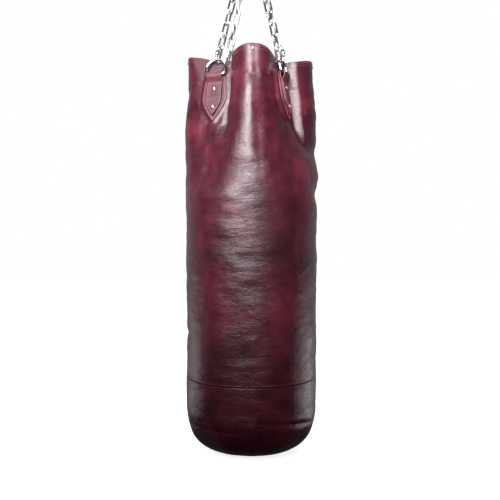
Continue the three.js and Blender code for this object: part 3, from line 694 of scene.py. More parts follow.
def rags_material():
    """Mixed scraps of grey and coloured cloth."""
    paint = Paint("rags", (0.30, 0.28, 0.26), 0.95)
    grey, straw, blue = (0.20, 0.19, 0.20), (0.42, 0.38, 0.33), (0.16, 0.20, 0.28)
    color = paint.ramp(paint.cells(28.0), (0.1, grey), (0.5, straw), (0.9, blue))
    paint.shade({"Base Color": color})
    paint.bump(paint.noise(60.0, 5.0, distortion=1.0), 0.8, 0.004)
    return paint.material


SHELL_RED = ((0.022, 0.0021, 0.0058), (0.046, 0.0046, 0.0112), (0.088, 0.0092, 0.0190))
TAB_RED = ((0.034, 0.0042, 0.0090), (0.075, 0.0095, 0.0180), (0.140, 0.021, 0.032))
THREAD = "thread"  # not a slot of the record
FINISHES = {
    "shell_leather": leather_material("shell_leather", *SHELL_RED, 0.39),
    "tab_leather": leather_material("tab_leather", *TAB_RED, 0.44),
    "suede": suede_material(),
    "canvas": canvas_material(),
    "chrome": metal_material("chrome_plate", (0.78, 0.79, 0.81), 0.08, 0.16),
    "zinc": metal_material("zinc_plate", (0.60, 0.61, 0.62), 0.26, 0.22),
    THREAD: thread_material(),
    "rags": rags_material(),
}


def dress(piece, finish, *nodes, body="bag"):
    """Gives a piece its finish, puts it on a body and hides the nodes it stands for."""
    piece.data.materials.append(FINISHES[finish])
    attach(piece, body)
    if nodes:
        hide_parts(*nodes)


def fit(name, finish, node, body, *shapes):
    """A finished piece made of shapes, on a body, in place of a node."""
    dress(assembled(name, *shapes), finish, node, body=body)


# ---------------------------------------------------------------- leather bag

CLOTH_STEP = 4  # rows and columns of the leather for each one of the simulated sheet
CLOTH_FRAMES = 18
CLOTH_CAP = 0.0045
CLOTH_GROWTH = 0.020
CLOTH_STIFFNESS = 40
CLOTH_BENDING = 5
CLOTH_PRESSURE = 3.0
CLOTH_GRAVITY = 0.3
CLOTH_QUALITY = 6
FILL_HOLDS = 0.30  # the leather doesn't move below this height
CREASED_FROM = 0.36
CREASED_FULLY = 0.62
HEM_ROWS = 4
CALM_BELOW_HEM = 0.12
HELD_ROUND_TAB = 0.012


def held_points(sheet):
    """Where the leather can't buckle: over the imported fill, along the hem and behind the tabs."""
    held = sheet[..., 2] - BASE < FILL_HOLDS
    held[-HEM_ROWS:] = True
    for leg in legs:
        across, up, out = leg.distances(sheet)
        beside = np.abs(across) - np.interp(up, LEAF_UPS, LEAF_HALVES)
        beyond = np.maximum(np.maximum(beside, LEAF_TIP - up), up)
        held |= (beyond < HELD_ROUND_TAB) & (np.abs(out) < 2 * HEM)
    return held


def simulated(sheet):
    """The sheet after its leather, cut a little too large for its sewn edges, has buckled."""
    count, columns = sheet.shape[:2]
    cloth_piece = new_object("settling", sheet.reshape(-1, 3), grid_faces(count, columns))
    group = cloth_piece.vertex_groups.new(name="held")
    held = np.flatnonzero(held_points(sheet)).tolist()
    group.add(held, 1.0, "REPLACE")
    cloth = cloth_piece.modifiers.new("cloth", "CLOTH")
    settings = cloth.settings
    settings.vertex_group_mass = group.name
    settings.quality = CLOTH_QUALITY
    settings.tension_stiffness = CLOTH_STIFFNESS
    settings.compression_stiffness = CLOTH_STIFFNESS
    settings.bending_stiffness = CLOTH_BENDING
    settings.shrink_min = -CLOTH_GROWTH
    settings.use_pressure = True
    settings.uniform_pressure_force = CLOTH_PRESSURE
    settings.effector_weights.gravity = CLOTH_GRAVITY
    cloth.collision_settings.use_collision = False
    cloth.collision_settings.use_self_collision = False
    cloth.point_cache.frame_end = CLOTH_FRAMES
    scene = bpy.context.scene
    for number in range(1, CLOTH_FRAMES + 1):
        scene.frame_set(number)
    shaped = cloth_piece.evaluated_get(bpy.context.evaluated_depsgraph_get())
    moved = np.empty(sheet.size)
    shaped.data.vertices.foreach_get("co", moved)
    scene.frame_set(1)
    bpy.data.objects.remove(cloth_piece)
    return moved.reshape(sheet.shape)


def settled(surface):
    """The leather with the buckles of a coarser simulated copy of it."""
    rows = np.append(np.arange(0, len(surface) - 1, CLOTH_STEP), len(surface) - 1)
    sheet = surface[rows][:, ::CLOTH_STEP]
    change = simulated(sheet) - sheet
    length = np.linalg.norm(change, axis=-1, keepdims=True)
    change *= CLOTH_CAP * np.tanh(length / CLOTH_CAP) / np.maximum(length, 1e-9)
    height = sheet[..., 2:] - BASE
    change *= smooth_step(CREASED_FROM, CREASED_FULLY, height)
    change *= smooth_step(RIM - HEM, RIM - CALM_BELOW_HEM, height)
    change = np.concatenate([change, change[:, :1]], axis=1)
    row_place = np.interp(np.arange(len(surface)), rows, np.arange(len(rows)))
    column_place = np.arange(surface.shape[1]) / CLOTH_STEP
    low = np.minimum(row_place.astype(int), len(rows) - 2)
    left = column_place.astype(int)
    along = (row_place - low)[:, None, None]
    beside = (column_place - left)[None, :, None]
    lower_row = change[low][:, left] * (1 - beside) + change[low][:, left + 1] * beside
    upper_row = change[low + 1][:, left] * (1 - beside) + change[low + 1][:, left + 1] * beside
    return surface + lower_row * (1 - along) + upper_row * along


upper = settled(upper_surface())
upper_panel = skin("upper_panel", upper)
dress(upper_panel, "shell_leather", "shell_upper")
lower = lower_surface()
lower_band = skin("lower_band", lower)
dress(lower_band, "shell_leather", "shell_lower_band")


DISC_GAP = 0.0008  # between the disc and the band's edge
DISC_RIPPLE = 0.0007
DISC_CALM = 0.05  # the ripples fade out towards the middle within this radius


def base_disc():
    """The underside: a flat leather disc, slightly wavy, up to its seam."""
    radius, height = corner_profile(FLAT_RADIUS, CORNER_STEPS)
    profile = [(0, 0)] + [(r, 0) for r in np.linspace(0.012, FLAT_RADIUS, 12)]
    profile += [(r, h) for r, h in zip(radius[1:], height[1:]) if r < BASE_RADIUS - DISC_GAP]
    end, rise = profile[-1]
    profile += [(end + 0.0006, rise + LEATHER / 2), (end, rise + LEATHER)]
    profile += [(r, h + LEATHER) for r, h in reversed(profile[1:-3])]
    profile += [(0, LEATHER)]
    points, faces = lathe(profile, COLUMNS // 2)
    wavy = []
    for p in points:
        ripple = DISC_RIPPLE * noise.noise(p * 22) * min(1.0, math.hypot(p.x, p.y) / DISC_CALM)
        wavy.append(Vector((p.x, p.y, max(0.0, p.z + ripple) + BASE)))
    return new_object("underside_disc", wavy, faces)


dress(base_disc(), "shell_leather", "base_disc")


def row_at(height):
    """The row of the upper panel nearest to a height."""
    share = (height - SEAM_HEIGHT) / (RIM - SEAM_HEIGHT)
    return int(round(share * (len(upper) - 1)))


def surface_point(angle, drop=None, height=None):
    """A point of the upper panel, at a height or a drop below the rim, with its normal and up."""
    column = int(round((angle % TURN) / TURN * COLUMNS)) % COLUMNS
    heights = upper[:, column, 2] - BASE
    wanted = heights[-1] - drop if height is None else height
    row = int(np.clip(np.searchsorted(heights, wanted), 1, len(upper) - 2))
    share = (wanted - heights[row - 1]) / (heights[row] - heights[row - 1])
    low, high = upper[row - 1, column], upper[row, column]
    place = Vector(low + (high - low) * share)
    up = Vector(upper[row + 1, column] - upper[row - 1, column]).normalized()
    side = Vector(upper[row, (column + 2) % COLUMNS] - upper[row, column - 2]).normalized()
    normal = side.cross(up).normalized()
    return place, normal, up


def sleeve(name, rows, inset, thickness):
    """A closed sleeve that follows rows of the leather at a distance inside it."""
    outside = inward(rows, inset)
    inside = inward(rows, inset + thickness)
    return new_object(name, *loft(list(outside) + list(inside[::-1]), closed=True))


MOUTH_BAND = 0.0022
MOUTH_BAND_INSET = 0.0036
MOUTH_BAND_BOTTOM = 0.948
LINING = 0.0012
LINING_INSET = 0.0062
LINING_TOP = 0.935
FILL_INSET = 0.010
FILL_BOTTOM = 0.012
FILL_LUMP = 0.004
COVER = 0.0015
COVER_INSET = 0.0085
COVER_PUCKERS = 23
COVER_PUCKER = 0.0012
COVER_SWELL = 0.004
COVER_LUMP = 0.0020

lower_rows = lower[lower[:, 0, 2] - BASE > CORNER_HEIGHT]
rows = upper[row_at(MOUTH_BAND_BOTTOM) : -1, ::2]
dress(sleeve("inner_mouth_band", rows, MOUTH_BAND_INSET, MOUTH_BAND), "suede", "mouth_band")
rows = np.concatenate([lower_rows, upper[: row_at(LINING_TOP) : 3]])[:, ::2]
dress(sleeve("canvas_lining", rows, LINING_INSET, LINING), "canvas", "lining")


def rag_fill():
    """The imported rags, lumpy at the top, with flat ends."""
    rows = np.concatenate([lower[3:], upper[: row_at(FILL_HEIGHT - 0.004) : 3]])[:, ::4]
    rows = inward(rows, FILL_INSET)
    rows[0, :, 2] = BASE + FILL_BOTTOM
    crown = rows[-1].mean(axis=0)
    rings = list(rows)
    for share in (0.75, 0.5, 0.25):
        ring = crown + (rows[-1] - crown) * share
        ring[:, 2] += FILL_LUMP * sample_noise(ring, 30.0)
        rings.append(ring)
    return new_object("packed_rags", *loft(rings))


def fill_cover():
    """A canvas disc over the rags, puckered towards its edge."""
    edge = inward(upper[row_at(FILL_HEIGHT)], COVER_INSET)[::2]
    centre = edge.mean(axis=0)
    angle = np.arange(len(edge)) * TURN / len(edge)
    rings = []
    for share in np.linspace(0.03, 1.0, 40):
        ring = centre + (edge - centre) * share
        pucker = np.cos(COVER_PUCKERS * angle + 2 * np.sin(3 * angle)) * share**4
        swell = COVER_SWELL * (1 - share**2)
        ring[:, 2] = BASE + FILL_HEIGHT + COVER_PUCKER * pucker + swell
        ring[:, 2] += COVER_LUMP * sample_noise(ring, 26.0)
        rings.append(ring)
    below = [ring - np.array([0, 0, COVER]) for ring in rings]
    points, faces = loft(rings + below[::-1])
    return new_object("canvas_cover", points, [tuple(reversed(face)) for face in faces])


dress(rag_fill(), "rags", "rag_fill")
dress(fill_cover(), "canvas", "fill_cover")

# ---------------------------------------------------------------- strips and stitches

EDGE_TURNS = [math.pi / 2 - math.pi * i / 6 for i in range(1, 6)]  # round a strip's edge
SECTION_COLUMNS = 14
STITCH_PITCH = 0.0044
STITCH_LENGTH = 0.0031
STITCH_RADIUS = 0.00042
STITCH_SHARES = (-0.5, -0.36, -0.12, 0.12, 0.36, 0.5)  # along one stitch
GRAIN_WAVES = 60  # a metre, in the relief of a strip


def rounded_section(half, thickness):
    """Points (x, z) round a flat section with rounded edges, starting at its front left."""
    radius = min(thickness / 2, half) * 0.98
    steps = range(SECTION_COLUMNS + 1)
    flat = [(-half + radius + (2 * half - 2 * radius) * i / SECTION_COLUMNS) for i in steps]
    front = [(x, thickness / 2) for x in flat]
    edge = [(half - radius + radius * math.cos(t), thickness / 2 * math.sin(t)) for t in EDGE_TURNS]
    back = [(x, -thickness / 2) for x in reversed(flat)]
    return front + edge + back + [(-x, -z) for x, z in edge]


def strip(route, halves, thickness, relief):
    """A flat leather strip along a route of (up, out) pairs, with a half-width at each."""
    rings = []
    last = len(route) - 1
    for i, (up, out) in enumerate(route):
        before = route[max(i - 1, 0)]
        after = route[min(i + 1, last)]
        along = Vector((after[0] - before[0], after[1] - before[1])).normalized()
        ring = []
        for x, z in rounded_section(halves[i], thickness):
            grain = Vector([GRAIN_WAVES * c for c in (x, up, out)])
            wave = relief * noise.noise(grain)
            ring.append(Vector((x, up - along.y * (z + wave), out + along.x * (z + wave))))
        rings.append(ring)
    return loft(rings)


def resampled(path, pitch, closed=False):
    """Points at even distances along a path, each with the direction and the index there."""
    path = [Vector(p) for p in path]
    if closed:
        path.append(path[0])
    lengths = [(b - a).length for a, b in zip(path, path[1:])]
    total = sum(lengths)
    count = max(1, int(total / pitch))
    index = 0
    passed = 0.0
    for i in range(count):
        wanted = (i + 0.5) * (total / count)
        while index < len(lengths) - 1 and passed + lengths[index] < wanted:
            passed += lengths[index]
            index += 1
        share = (wanted - passed) / max(lengths[index], 1e-9)
        along = (path[index + 1] - path[index]).normalized()
        yield path[index].lerp(path[index + 1], share), along, index


def stitch_row(path, normals, closed=False):
    """Short arched threads along a path on a surface."""
    row = []
    for place, along, index in resampled(path, STITCH_PITCH, closed):
        normal = normals[min(index, len(normals) - 1)]
        normal = (normal - along * normal.dot(along)).normalized()
        arch = []
        for share in STITCH_SHARES:
            rise = STITCH_RADIUS * (0.9 - 9.0 * max(0.0, abs(share) - 0.30))
            arch.append(place + along * (share * STITCH_LENGTH) + normal * rise)
        row.append(tube(arch, STITCH_RADIUS, 6, up=normal))
    return row


def stitches_round(drop=None, height=None):
    """A row of stitches right round the upper panel."""
    found = [surface_point(i * TURN / COLUMNS, drop, height) for i in range(COLUMNS)]
    return stitch_row([place for place, *_ in found], [normal for _, normal, _ in found], True)


HEM_STITCH_DROPS = (0.0105, 0.0042)
RING_SEAM_STITCHES = SEAM_HEIGHT + 0.0045
base_row = lower[2]
base_normals = [Vector((x, y, -0.9 * math.hypot(x, y))).normalized() for x, y, _ in base_row]
threads = [stitch for drop in HEM_STITCH_DROPS for stitch in stitches_round(drop=drop)]
threads += stitches_round(height=RING_SEAM_STITCHES)
threads += stitch_row(base_row, base_normals, closed=True)

# the strip that covers the closing seam, at the back
SEAM_ANGLE = math.pi + LOBE_ANGLE
SEAM_STRIP_HALF = 0.015
SEAM_STRIP_THICKNESS = 0.0025
SEAM_STRIP_GAP = 0.0003
SEAM_STITCHES = 0.78  # share of the half-width
SEAM_SHARES = (-1, -0.96, -0.88, -0.6, -0.3, 0, 0.3, 0.6, 0.88, 0.96, 1)
SEAM_LIFTS = (0.0, 0.6, 0.95, 1, 1, 1, 1, 1, 0.95, 0.6, 0.0)  # shares of the thickness


def seam_point(height, share, lift):
    """A point at shares of the strip's half-width and thickness, or on the leather for no lift."""
    angle = SEAM_ANGLE + share * SEAM_STRIP_HALF / RADIUS
    place, normal, _ = surface_point(angle, height=height)
    if lift is not None:
        place = place + normal * (SEAM_STRIP_GAP + SEAM_STRIP_THICKNESS * lift)
    return place, normal


heights = np.arange(SEAM_HEIGHT + 0.001, RIM - 0.014, 0.004)
rings = []
for height in heights:
    top = [seam_point(height, *spot)[0] for spot in zip(SEAM_SHARES, SEAM_LIFTS)]
    rings.append(top + [seam_point(height, share, None)[0] for share in (1, 0, -1)])
dress(new_object("closing_seam_strip", *loft(rings)), "shell_leather", "back_seam_strip")
for side in (-1, 1):
    found = [seam_point(height, side * SEAM_STITCHES, 0.98) for height in heights]
    threads += stitch_row([place for place, _ in found], [normal for _, normal in found])
dress(assembled("bag_stitches", *threads), THREAD)

# ---------------------------------------------------------------- hanging tabs

STRAP = 0.0025
STRAP_HALF = 0.021
STRAP_SHOULDER = -0.070
STRAP_TIP = -0.104
STRAP_BEND = 0.005975  # from the D-ring's bar to the middle of the strap
STRAP_OVERTURN = 1.12  # half turns round the bar
STRAP_MEETS = -0.022  # height where the strap's two layers come together
STRAP_LAYER = -STRAP_BEND + STRAP + 0.0002  # middle of the front layer
STRAP_FRONT = -STRAP_BEND + STRAP * 1.5 + 0.0002
TAB_RIVETS = {"upper": -0.036, "lower": -0.084}
RIVET_SHANK = 0.0019
RIVET_TAIL = 0.0010
RIVET_TAIL_EDGE = 0.0006
RIVET_EDGE = 0.0003
RIVET_GRIP = 0.0121  # behind the tab's leaf


def strap_half(up):
    share = min(1.0, max(0.0, (STRAP_SHOULDER - up) / (STRAP_SHOULDER - STRAP_TIP)))
    return STRAP_HALF + (TIP_HALF - STRAP_HALF) * share**1.15


def strap_route():
    """Up behind the bar, round it and down in front, as (up, out) pairs."""
    behind = [(STRAP_TIP + (0.0 - STRAP_TIP) * i / 40, -STRAP_BEND) for i in range(40)]
    turns = [math.pi - i / 16 * STRAP_OVERTURN * math.pi for i in range(17)]
    bend = [(STRAP_BEND * math.sin(t), STRAP_BEND * math.cos(t)) for t in turns]
    up, out = bend[-1]
    fall = []
    for i in range(1, 12):
        share = i / 12
        ease = share * share * (3 - 2 * share)
        fall.append((up + (STRAP_MEETS - up) * share, out + (STRAP_LAYER - out) * ease))
    front = [(STRAP_MEETS + (STRAP_TIP - STRAP_MEETS) * i / 36, STRAP_LAYER) for i in range(37)]
    return behind + bend + fall + front


def edge_path(half, top, bottom, inset, out, matrix):
    """A path down one side of a tapering piece, round its tip and up the other side."""
    heights = [top + (bottom + inset * 1.8 - top) * i / 44 for i in range(45)]
    right = [Vector((max(half(up) - inset, 0.0), up, out)) for up in heights]
    left = [Vector((-p.x, p.y, p.z)) for p in reversed(right[:-1])]
    return [matrix @ p for p in right + left]


def rivet_shape(head, tail, grip):
    """A domed rivet along Z: the head's underside is at zero and the inner head at minus grip."""
    dome = head * 0.52
    end = -grip - RIVET_TAIL
    profile = [(0, end), (tail * 0.96, end), (tail, -grip - RIVET_TAIL_EDGE), (tail, -grip)]
    profile += [(RIVET_SHANK, -grip), (RIVET_SHANK, 0), (head * 0.97, 0), (head, RIVET_EDGE)]
    for i in range(1, 8):
        turn = math.pi / 2 * i / 8
        profile.append((head * math.cos(turn), RIVET_EDGE + dome * math.sin(turn)))
    profile.append((0, RIVET_EDGE + dome))
    return lathe(profile, 28)


leaf_ups = [LEAF_TIP + (LEAF_TOP - LEAF_TIP) * i / 60 for i in range(61)]
leaf_halves = [leaf_half(up) for up in leaf_ups]
loop_route = strap_route()
loop_halves = [strap_half(min(up, 0.0)) for up, _ in loop_route]

for leg in legs:
    number = leg.number
    place = leg.tab_matrix()
    leaf_route = [(up, leg.leaf_back + LEAF / 2) for up in leaf_ups]
    leaf = located(strip(leaf_route, leaf_halves, LEAF, 0.0005), place)
    fit(f"tab_leaf_{number}", "tab_leather", f"tab_backing_{number}", "bag", leaf)
    loop = located(strip(loop_route, loop_halves, STRAP, 0.0004), place)
    fit(f"tab_loop_{number}", "tab_leather", f"tab_strap_{number}", "bag", loop)
    leaf_front = leg.leaf_back + LEAF
    leaf_edge = edge_path(leaf_half, LEAF_TOP - 0.003, LEAF_TIP, 0.0034, leaf_front, place)
    loop_edge = edge_path(strap_half, -0.026, STRAP_TIP, 0.0030, STRAP_FRONT, place)
    threads = stitch_row(leaf_edge, [leg.out]) + stitch_row(loop_edge, [leg.out])
    dress(assembled(f"tab_stitches_{number}", *threads), THREAD)
    rivet = rivet_shape(0.0048, 0.0038, STRAP_FRONT - leg.leaf_back + RIVET_GRIP)
    for which, up in TAB_RIVETS.items():
        stud = located(rivet, place @ shifted(y=up, z=STRAP_FRONT))
        ends = f"{number}_{which}"
        fit(f"tab_stud_{ends}", "chrome", f"tab_rivet_{ends}", "bag", stud)

rivet = rivet_shape(0.0036, 0.0029, 0.0088)
for i in range(8):
    place, normal, up = surface_point(LOBE_ANGLE + i * TURN / 8, drop=0.012)
    stud = located(rivet, axes(up.cross(normal), up, normal, place))
    fit(f"rim_stud_{i + 1}", "chrome", f"rim_rivet_{i + 1}", "bag", stud)

# ---------------------------------------------------------------- chain legs

D_WIRE = 0.0035
D_HALF = 0.0255
D_STRAIGHT = 0.017
D_CORNER = 0.006
LINKS = 9
LINK_WIRE = 0.0025
LINK_PITCH = 0.035
LINK_HALF = 0.0075
LINK_STEP = 0.03455  # from one link's centre to the next
QUICK_WIRE = 0.00275
QUICK_PITCH = 0.040
QUICK_HALF = 0.00825
QUICK_GAP = 0.0025  # half the opening that the nut closes
THREAD_TOP = -0.0030
THREAD_PITCH = 0.0011
THREAD_RINGS = 9
THREAD_WIRE = 0.00028
THREAD_PROUD = 0.00005
NUT_LENGTH = 0.011
NUT_RADIUS = 0.0056
NUT_BORE = 0.0032
FORWARD = Vector((0, 1, 0))
SIDEWAYS = Vector((1, 0, 0))


def d_ring_path():
    right = arc((D_HALF - D_CORNER, D_CORNER), D_CORNER, -0.25, 0, 6)
    top = arc((0, D_STRAIGHT), D_HALF, 0, 0.5, 36)
    left = arc((D_CORNER - D_HALF, D_CORNER), D_CORNER, 0.5, 0.75, 6)
    return upright(right + top + left)


def loop_path(half, inner_length, wire):
    centre = inner_length / 2 + wire - half
    return upright(arc((0, centre), half, 0, 0.5, 14) + arc((0, -centre), half, 0.5, 1, 14))


def hex_nut(radius, bore, height):
    """A six-sided nut with chamfered ends, centred on the origin."""
    chamfer = radius * 0.13
    low = [(bore, -0.5, 0), (radius - chamfer, -0.5, 0), (radius, -0.5, chamfer)]
    high = [(reach, 0.5, -shift) for reach, _, shift in reversed(low)]
    sides = 36
    rings = []
    for reach, end, shift in low + high:
        ring = []
        for j in range(sides):
            turn = TURN * j / sides
            flat = math.cos(math.pi / 6) / math.cos((turn % (TURN / 6)) - math.pi / 6)
            distance = min(reach, radius * flat)
            x, y = distance * math.cos(turn), distance * math.sin(turn)
            ring.append(Vector((x, y, end * height + shift)))
        rings.append(ring)
    return loft(rings, closed=True)


def thread_ring(height):
    """One turn of the thread, round the open side of a quick link."""
    reach = QUICK_WIRE + THREAD_PROUD
    path = []
    for j in range(20):
        x, y = math.cos(TURN * j / 20), math.sin(TURN * j / 20)
        path.append((QUICK_HALF + THREAD_PROUD * x + reach * x, reach * y, height))
    return tube(path, THREAD_WIRE, 6, closed=True)


def quick_link_shapes():
    """An oval link with a gap in one side, its lower end threaded for the nut."""
    ends = [Vector((QUICK_HALF, 0, height)) for height in (QUICK_GAP, -QUICK_GAP)]
    path = ends[:1] + loop_path(QUICK_HALF, QUICK_PITCH, QUICK_WIRE) + ends[1:]
    shapes = [tube(path, QUICK_WIRE, 16, up=FORWARD)]
    return shapes + [thread_ring(THREAD_TOP - i * THREAD_PITCH) for i in range(THREAD_RINGS)]


d_ring = tube(d_ring_path(), D_WIRE, closed=True, up=FORWARD)
quick_link = quick_link_shapes()
quick_nut = hex_nut(NUT_RADIUS, NUT_BORE, NUT_LENGTH)
link_path = loop_path(LINK_HALF, LINK_PITCH, LINK_WIRE)
chain_link = tube(link_path, LINK_WIRE, 16, closed=True, up=FORWARD)

for leg in legs:
    number = leg.number
    body = f"chain_leg_{number}"
    place = axes(leg.across, leg.ring_up.cross(leg.across), leg.ring_up, leg.bar)
    node = f"d_ring_{number}"
    fit(f"d_ring_steel_{number}", "chrome", node, node, located(d_ring, place))

    normal = leg.along.cross(leg.quick_side)
    place = axes(leg.quick_side, normal, leg.along, leg.quick)
    link = [located(shape, place) for shape in quick_link]
    fit(f"oval_link_{number}", "chrome", f"quick_link_{number}", body, *link)
    node = f"quick_nut_{number}"
    nut = located(quick_nut, place @ shifted(x=QUICK_HALF))
    fit(f"oval_link_nut_{number}", "chrome", node, node, nut)

    # the links turn a little each, so that the last one stands across the ring's wire
    arc_centre = leg.bar + leg.ring_up * D_STRAIGHT
    slack = D_HALF - D_WIRE + QUICK_PITCH / 2 - (leg.quick - arc_centre).length
    across = leg.along.cross(normal)
    last = (SIDEWAYS - leg.along * SIDEWAYS.dot(leg.along)).normalized()
    whole_turn = math.atan2(last.dot(-across), last.dot(normal))
    half_turns = round((whole_turn - LINKS * math.pi / 2) / math.pi)
    step = (whole_turn - half_turns * math.pi) / LINKS
    for i in range(1, LINKS + 1):
        facing = normal * math.cos(i * step) - across * math.sin(i * step)
        distance = QUICK_PITCH / 2 - slack + LINK_PITCH / 2 + (i - 1) * LINK_STEP
        centre = leg.quick + leg.along * distance
        place = axes(facing.cross(leg.along), facing, leg.along, centre)
        link = located(chain_link, place)
        fit(f"chain_link_{number}_{i}", "chrome", f"chain_{number}", body, link)

# ---------------------------------------------------------------- ring, swivel and snap hook

RING_WIRE = 0.0035
RING_RADIUS = 0.028
BOW_WIRE = 0.0045
BOW_HALF = 0.0155
BOW_STRAIGHT = 0.020
BOW_IN_BOSS = 0.006  # how far the bow's wire goes up into the boss
BOSS_RADIUS = 0.020
BOSS_HEIGHT = 0.012
BOSS_EDGE = 0.0016
BOLT_RADIUS = 0.006
BOLT_HOLE = 0.0065
BOLT_EDGE = 0.0008
WASHER_EDGE = 0.0004
EYE_RADIUS = 0.0135
EYE_WIRE = 0.0045
COLLAR = 0.012
COLLAR_GAP = 0.00035  # above the washer
HOOK_WIRE = 0.004
HOOK_LENGTH = 0.072
HOOK_TOP_RADIUS = 0.017
HOOK_BOTTOM_RADIUS = 0.012
GATE_WIRE = 0.0038
GATE_PIN_HEIGHT = 0.020
GATE_LENGTH = 0.0303
GATE_GAP = 0.0007  # between the gate's end and the hook's nose
GATE_EDGE = 0.0008
CHEEK_TOP = 0.0058
CHEEK_NEAR = 0.00155
CHEEK_FAR = 0.0036
PIN_RADIUS = 0.0015


def node_centre(name):
    low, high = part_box(name)
    return (low + high) / 2


def circle(radius, steps):
    return upright(arc((0, 0), radius, 0, 1, steps)[:-1])


ring = tube(circle(RING_RADIUS, 72), RING_WIRE, closed=True, up=FORWARD)
ring = located(ring, Matrix.Translation(node_centre("collector_ring")))
fit("gathering_ring", "chrome", "collector_ring", "collector_ring", ring)

bow_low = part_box("swivel_bow")[0].z
bow_place = axes(FORWARD, -SIDEWAYS, AXIS, Vector((0, 0, bow_low + BOW_WIRE)))
bow_top = BOW_HALF + BOW_STRAIGHT + BOW_IN_BOSS
bow_arc = arc((0, BOW_HALF), BOW_HALF, 0.5, 1, 24)
bow_path = upright([(-BOW_HALF, bow_top)] + bow_arc + [(BOW_HALF, bow_top)])
bow = located(tube(bow_path, BOW_WIRE, up=FORWARD), bow_place)
boss = [(BOLT_HOLE, 0), (BOSS_RADIUS - BOSS_EDGE, 0)]
boss += [(BOSS_RADIUS - BOSS_EDGE * 0.3, BOSS_EDGE * 0.3), (BOSS_RADIUS, BOSS_EDGE)]
boss += [(radius, BOSS_HEIGHT - height) for radius, height in reversed(boss)]
boss = located(ring_lathe(boss, 48), bow_place @ shifted(z=BOW_HALF + BOW_STRAIGHT))
fit("swivel_fork", "chrome", "swivel_bow", "swivel_bow", bow, boss)

washer_low, washer_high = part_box("thrust_washer")
thick = washer_high.z - washer_low.z
reach = washer_high.x
washer = [(BOLT_HOLE, 0), (reach - WASHER_EDGE, 0), (reach, WASHER_EDGE)]
washer += [(radius, thick - height) for radius, height in reversed(washer)]
washer = located(ring_lathe(washer, 40), shifted(z=washer_low.z))
fit("swivel_washer", "zinc", "thrust_washer", "swivel_bow", washer)

nut_low, nut_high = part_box("swivel_nut")
nut = hex_nut(nut_high.x, BOLT_HOLE, nut_high.z - nut_low.z)
nut = located(nut, Matrix.Translation(node_centre("swivel_nut")))
fit("swivel_hex_nut", "zinc", "swivel_nut", "swivel_top", nut)

# the eye bolt, from the bottom of its shank up to its collar, and its eye
eye_low, eye_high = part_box("swivel_eye")
eye_centre = eye_high.z - EYE_RADIUS - EYE_WIRE
eye_place = axes(FORWARD, -SIDEWAYS, AXIS, Vector((0, 0, eye_centre)))
eye = located(tube(circle(EYE_RADIUS, 48), EYE_WIRE, closed=True, up=FORWARD), eye_place)
foot = eye_low.z - eye_centre
seat = washer_high.z + COLLAR_GAP - eye_centre
bolt = [(0, foot), (BOLT_RADIUS - BOLT_EDGE, foot), (BOLT_RADIUS, foot + BOLT_EDGE)]
bolt += [(BOLT_RADIUS, seat), (COLLAR - 0.0006, seat), (COLLAR, seat + 0.0006)]
bolt += [(COLLAR, seat + 0.0040), (COLLAR - 0.0010, seat + 0.0050)]
bolt += [(0.0075, seat + 0.0056), (0.0052, seat + 0.0075), (0, seat + 0.0075)]
bolt = located(lathe(bolt, 40), eye_place)
fit("swivel_eye_bolt", "chrome", "swivel_eye", "swivel_top", eye, bolt)

# the snap hook goes round its bottom, up its spine and over its top to the nose
low = (0, HOOK_BOTTOM_RADIUS)
high = (0, HOOK_LENGTH - HOOK_TOP_RADIUS)
lean = math.asin((HOOK_TOP_RADIUS - HOOK_BOTTOM_RADIUS) / (high[1] - low[1])) / TURN
bottom = arc(low, HOOK_BOTTOM_RADIUS, -lean, -0.5 + lean, 24)
top = arc(high, HOOK_TOP_RADIUS, 0.5 + lean, -lean, 32)
start, end = Vector(bottom[0]), Vector(top[-1])
gate_along = (end - start).normalized()
pin = start + gate_along * ((GATE_PIN_HEIGHT - start.y) / gate_along.y)
nose = pin + gate_along * (GATE_LENGTH + GATE_GAP)
route = [(pin.x, pin.y)] + bottom + top
if end.y > nose.y:
    route.append((nose.x, nose.y))
hook_place = shifted(z=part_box("snap_hook")[0].z + HOOK_WIRE)
hook = located(tube(upright(route), HOOK_WIRE, up=FORWARD), hook_place)
fit("spring_hook", "chrome", "snap_hook", "snap_hook", hook)

gate_up = Vector((gate_along.x, 0, gate_along.y))
gate_base = hook_place @ Vector((pin.x, 0, pin.y))
gate_place = axes(FORWARD.cross(gate_up).normalized(), FORWARD, gate_up, gate_base)
rod = [(0, 0.0048), (GATE_WIRE - 0.0006, 0.0048), (GATE_WIRE, 0.0054)]
rod += [(GATE_WIRE, GATE_LENGTH - GATE_EDGE), (GATE_WIRE - GATE_EDGE, GATE_LENGTH)]
rod += [(0, GATE_LENGTH)]
cheek = [(-GATE_WIRE, 0), (-GATE_WIRE, CHEEK_TOP), (GATE_WIRE, CHEEK_TOP), (GATE_WIRE, 0)]
cheek += arc((0, 0), GATE_WIRE, 0, -0.5, 12)[1:-1]
gate = [located(lathe(rod, 28), gate_place)]
for ends in ((CHEEK_NEAR, CHEEK_FAR), (-CHEEK_FAR, -CHEEK_NEAR)):
    rings = [[Vector((x, y, z)) for x, z in cheek] for y in ends]
    gate.append(located(loft(rings), gate_place))
fit("spring_gate", "chrome", "snap_gate", "snap_gate", *gate)

pin_place = gate_place @ axes(SIDEWAYS, AXIS, -FORWARD, Vector((0, 0, 0)))
rod = [(0, -CHEEK_FAR), (PIN_RADIUS, -CHEEK_FAR), (PIN_RADIUS, CHEEK_FAR), (0, CHEEK_FAR)]
fit("hinge_pin", "zinc", "gate_pin", "snap_hook", located(lathe(rod, 20), pin_place))

# ---------------------------------------------------------------- stage, light and camera

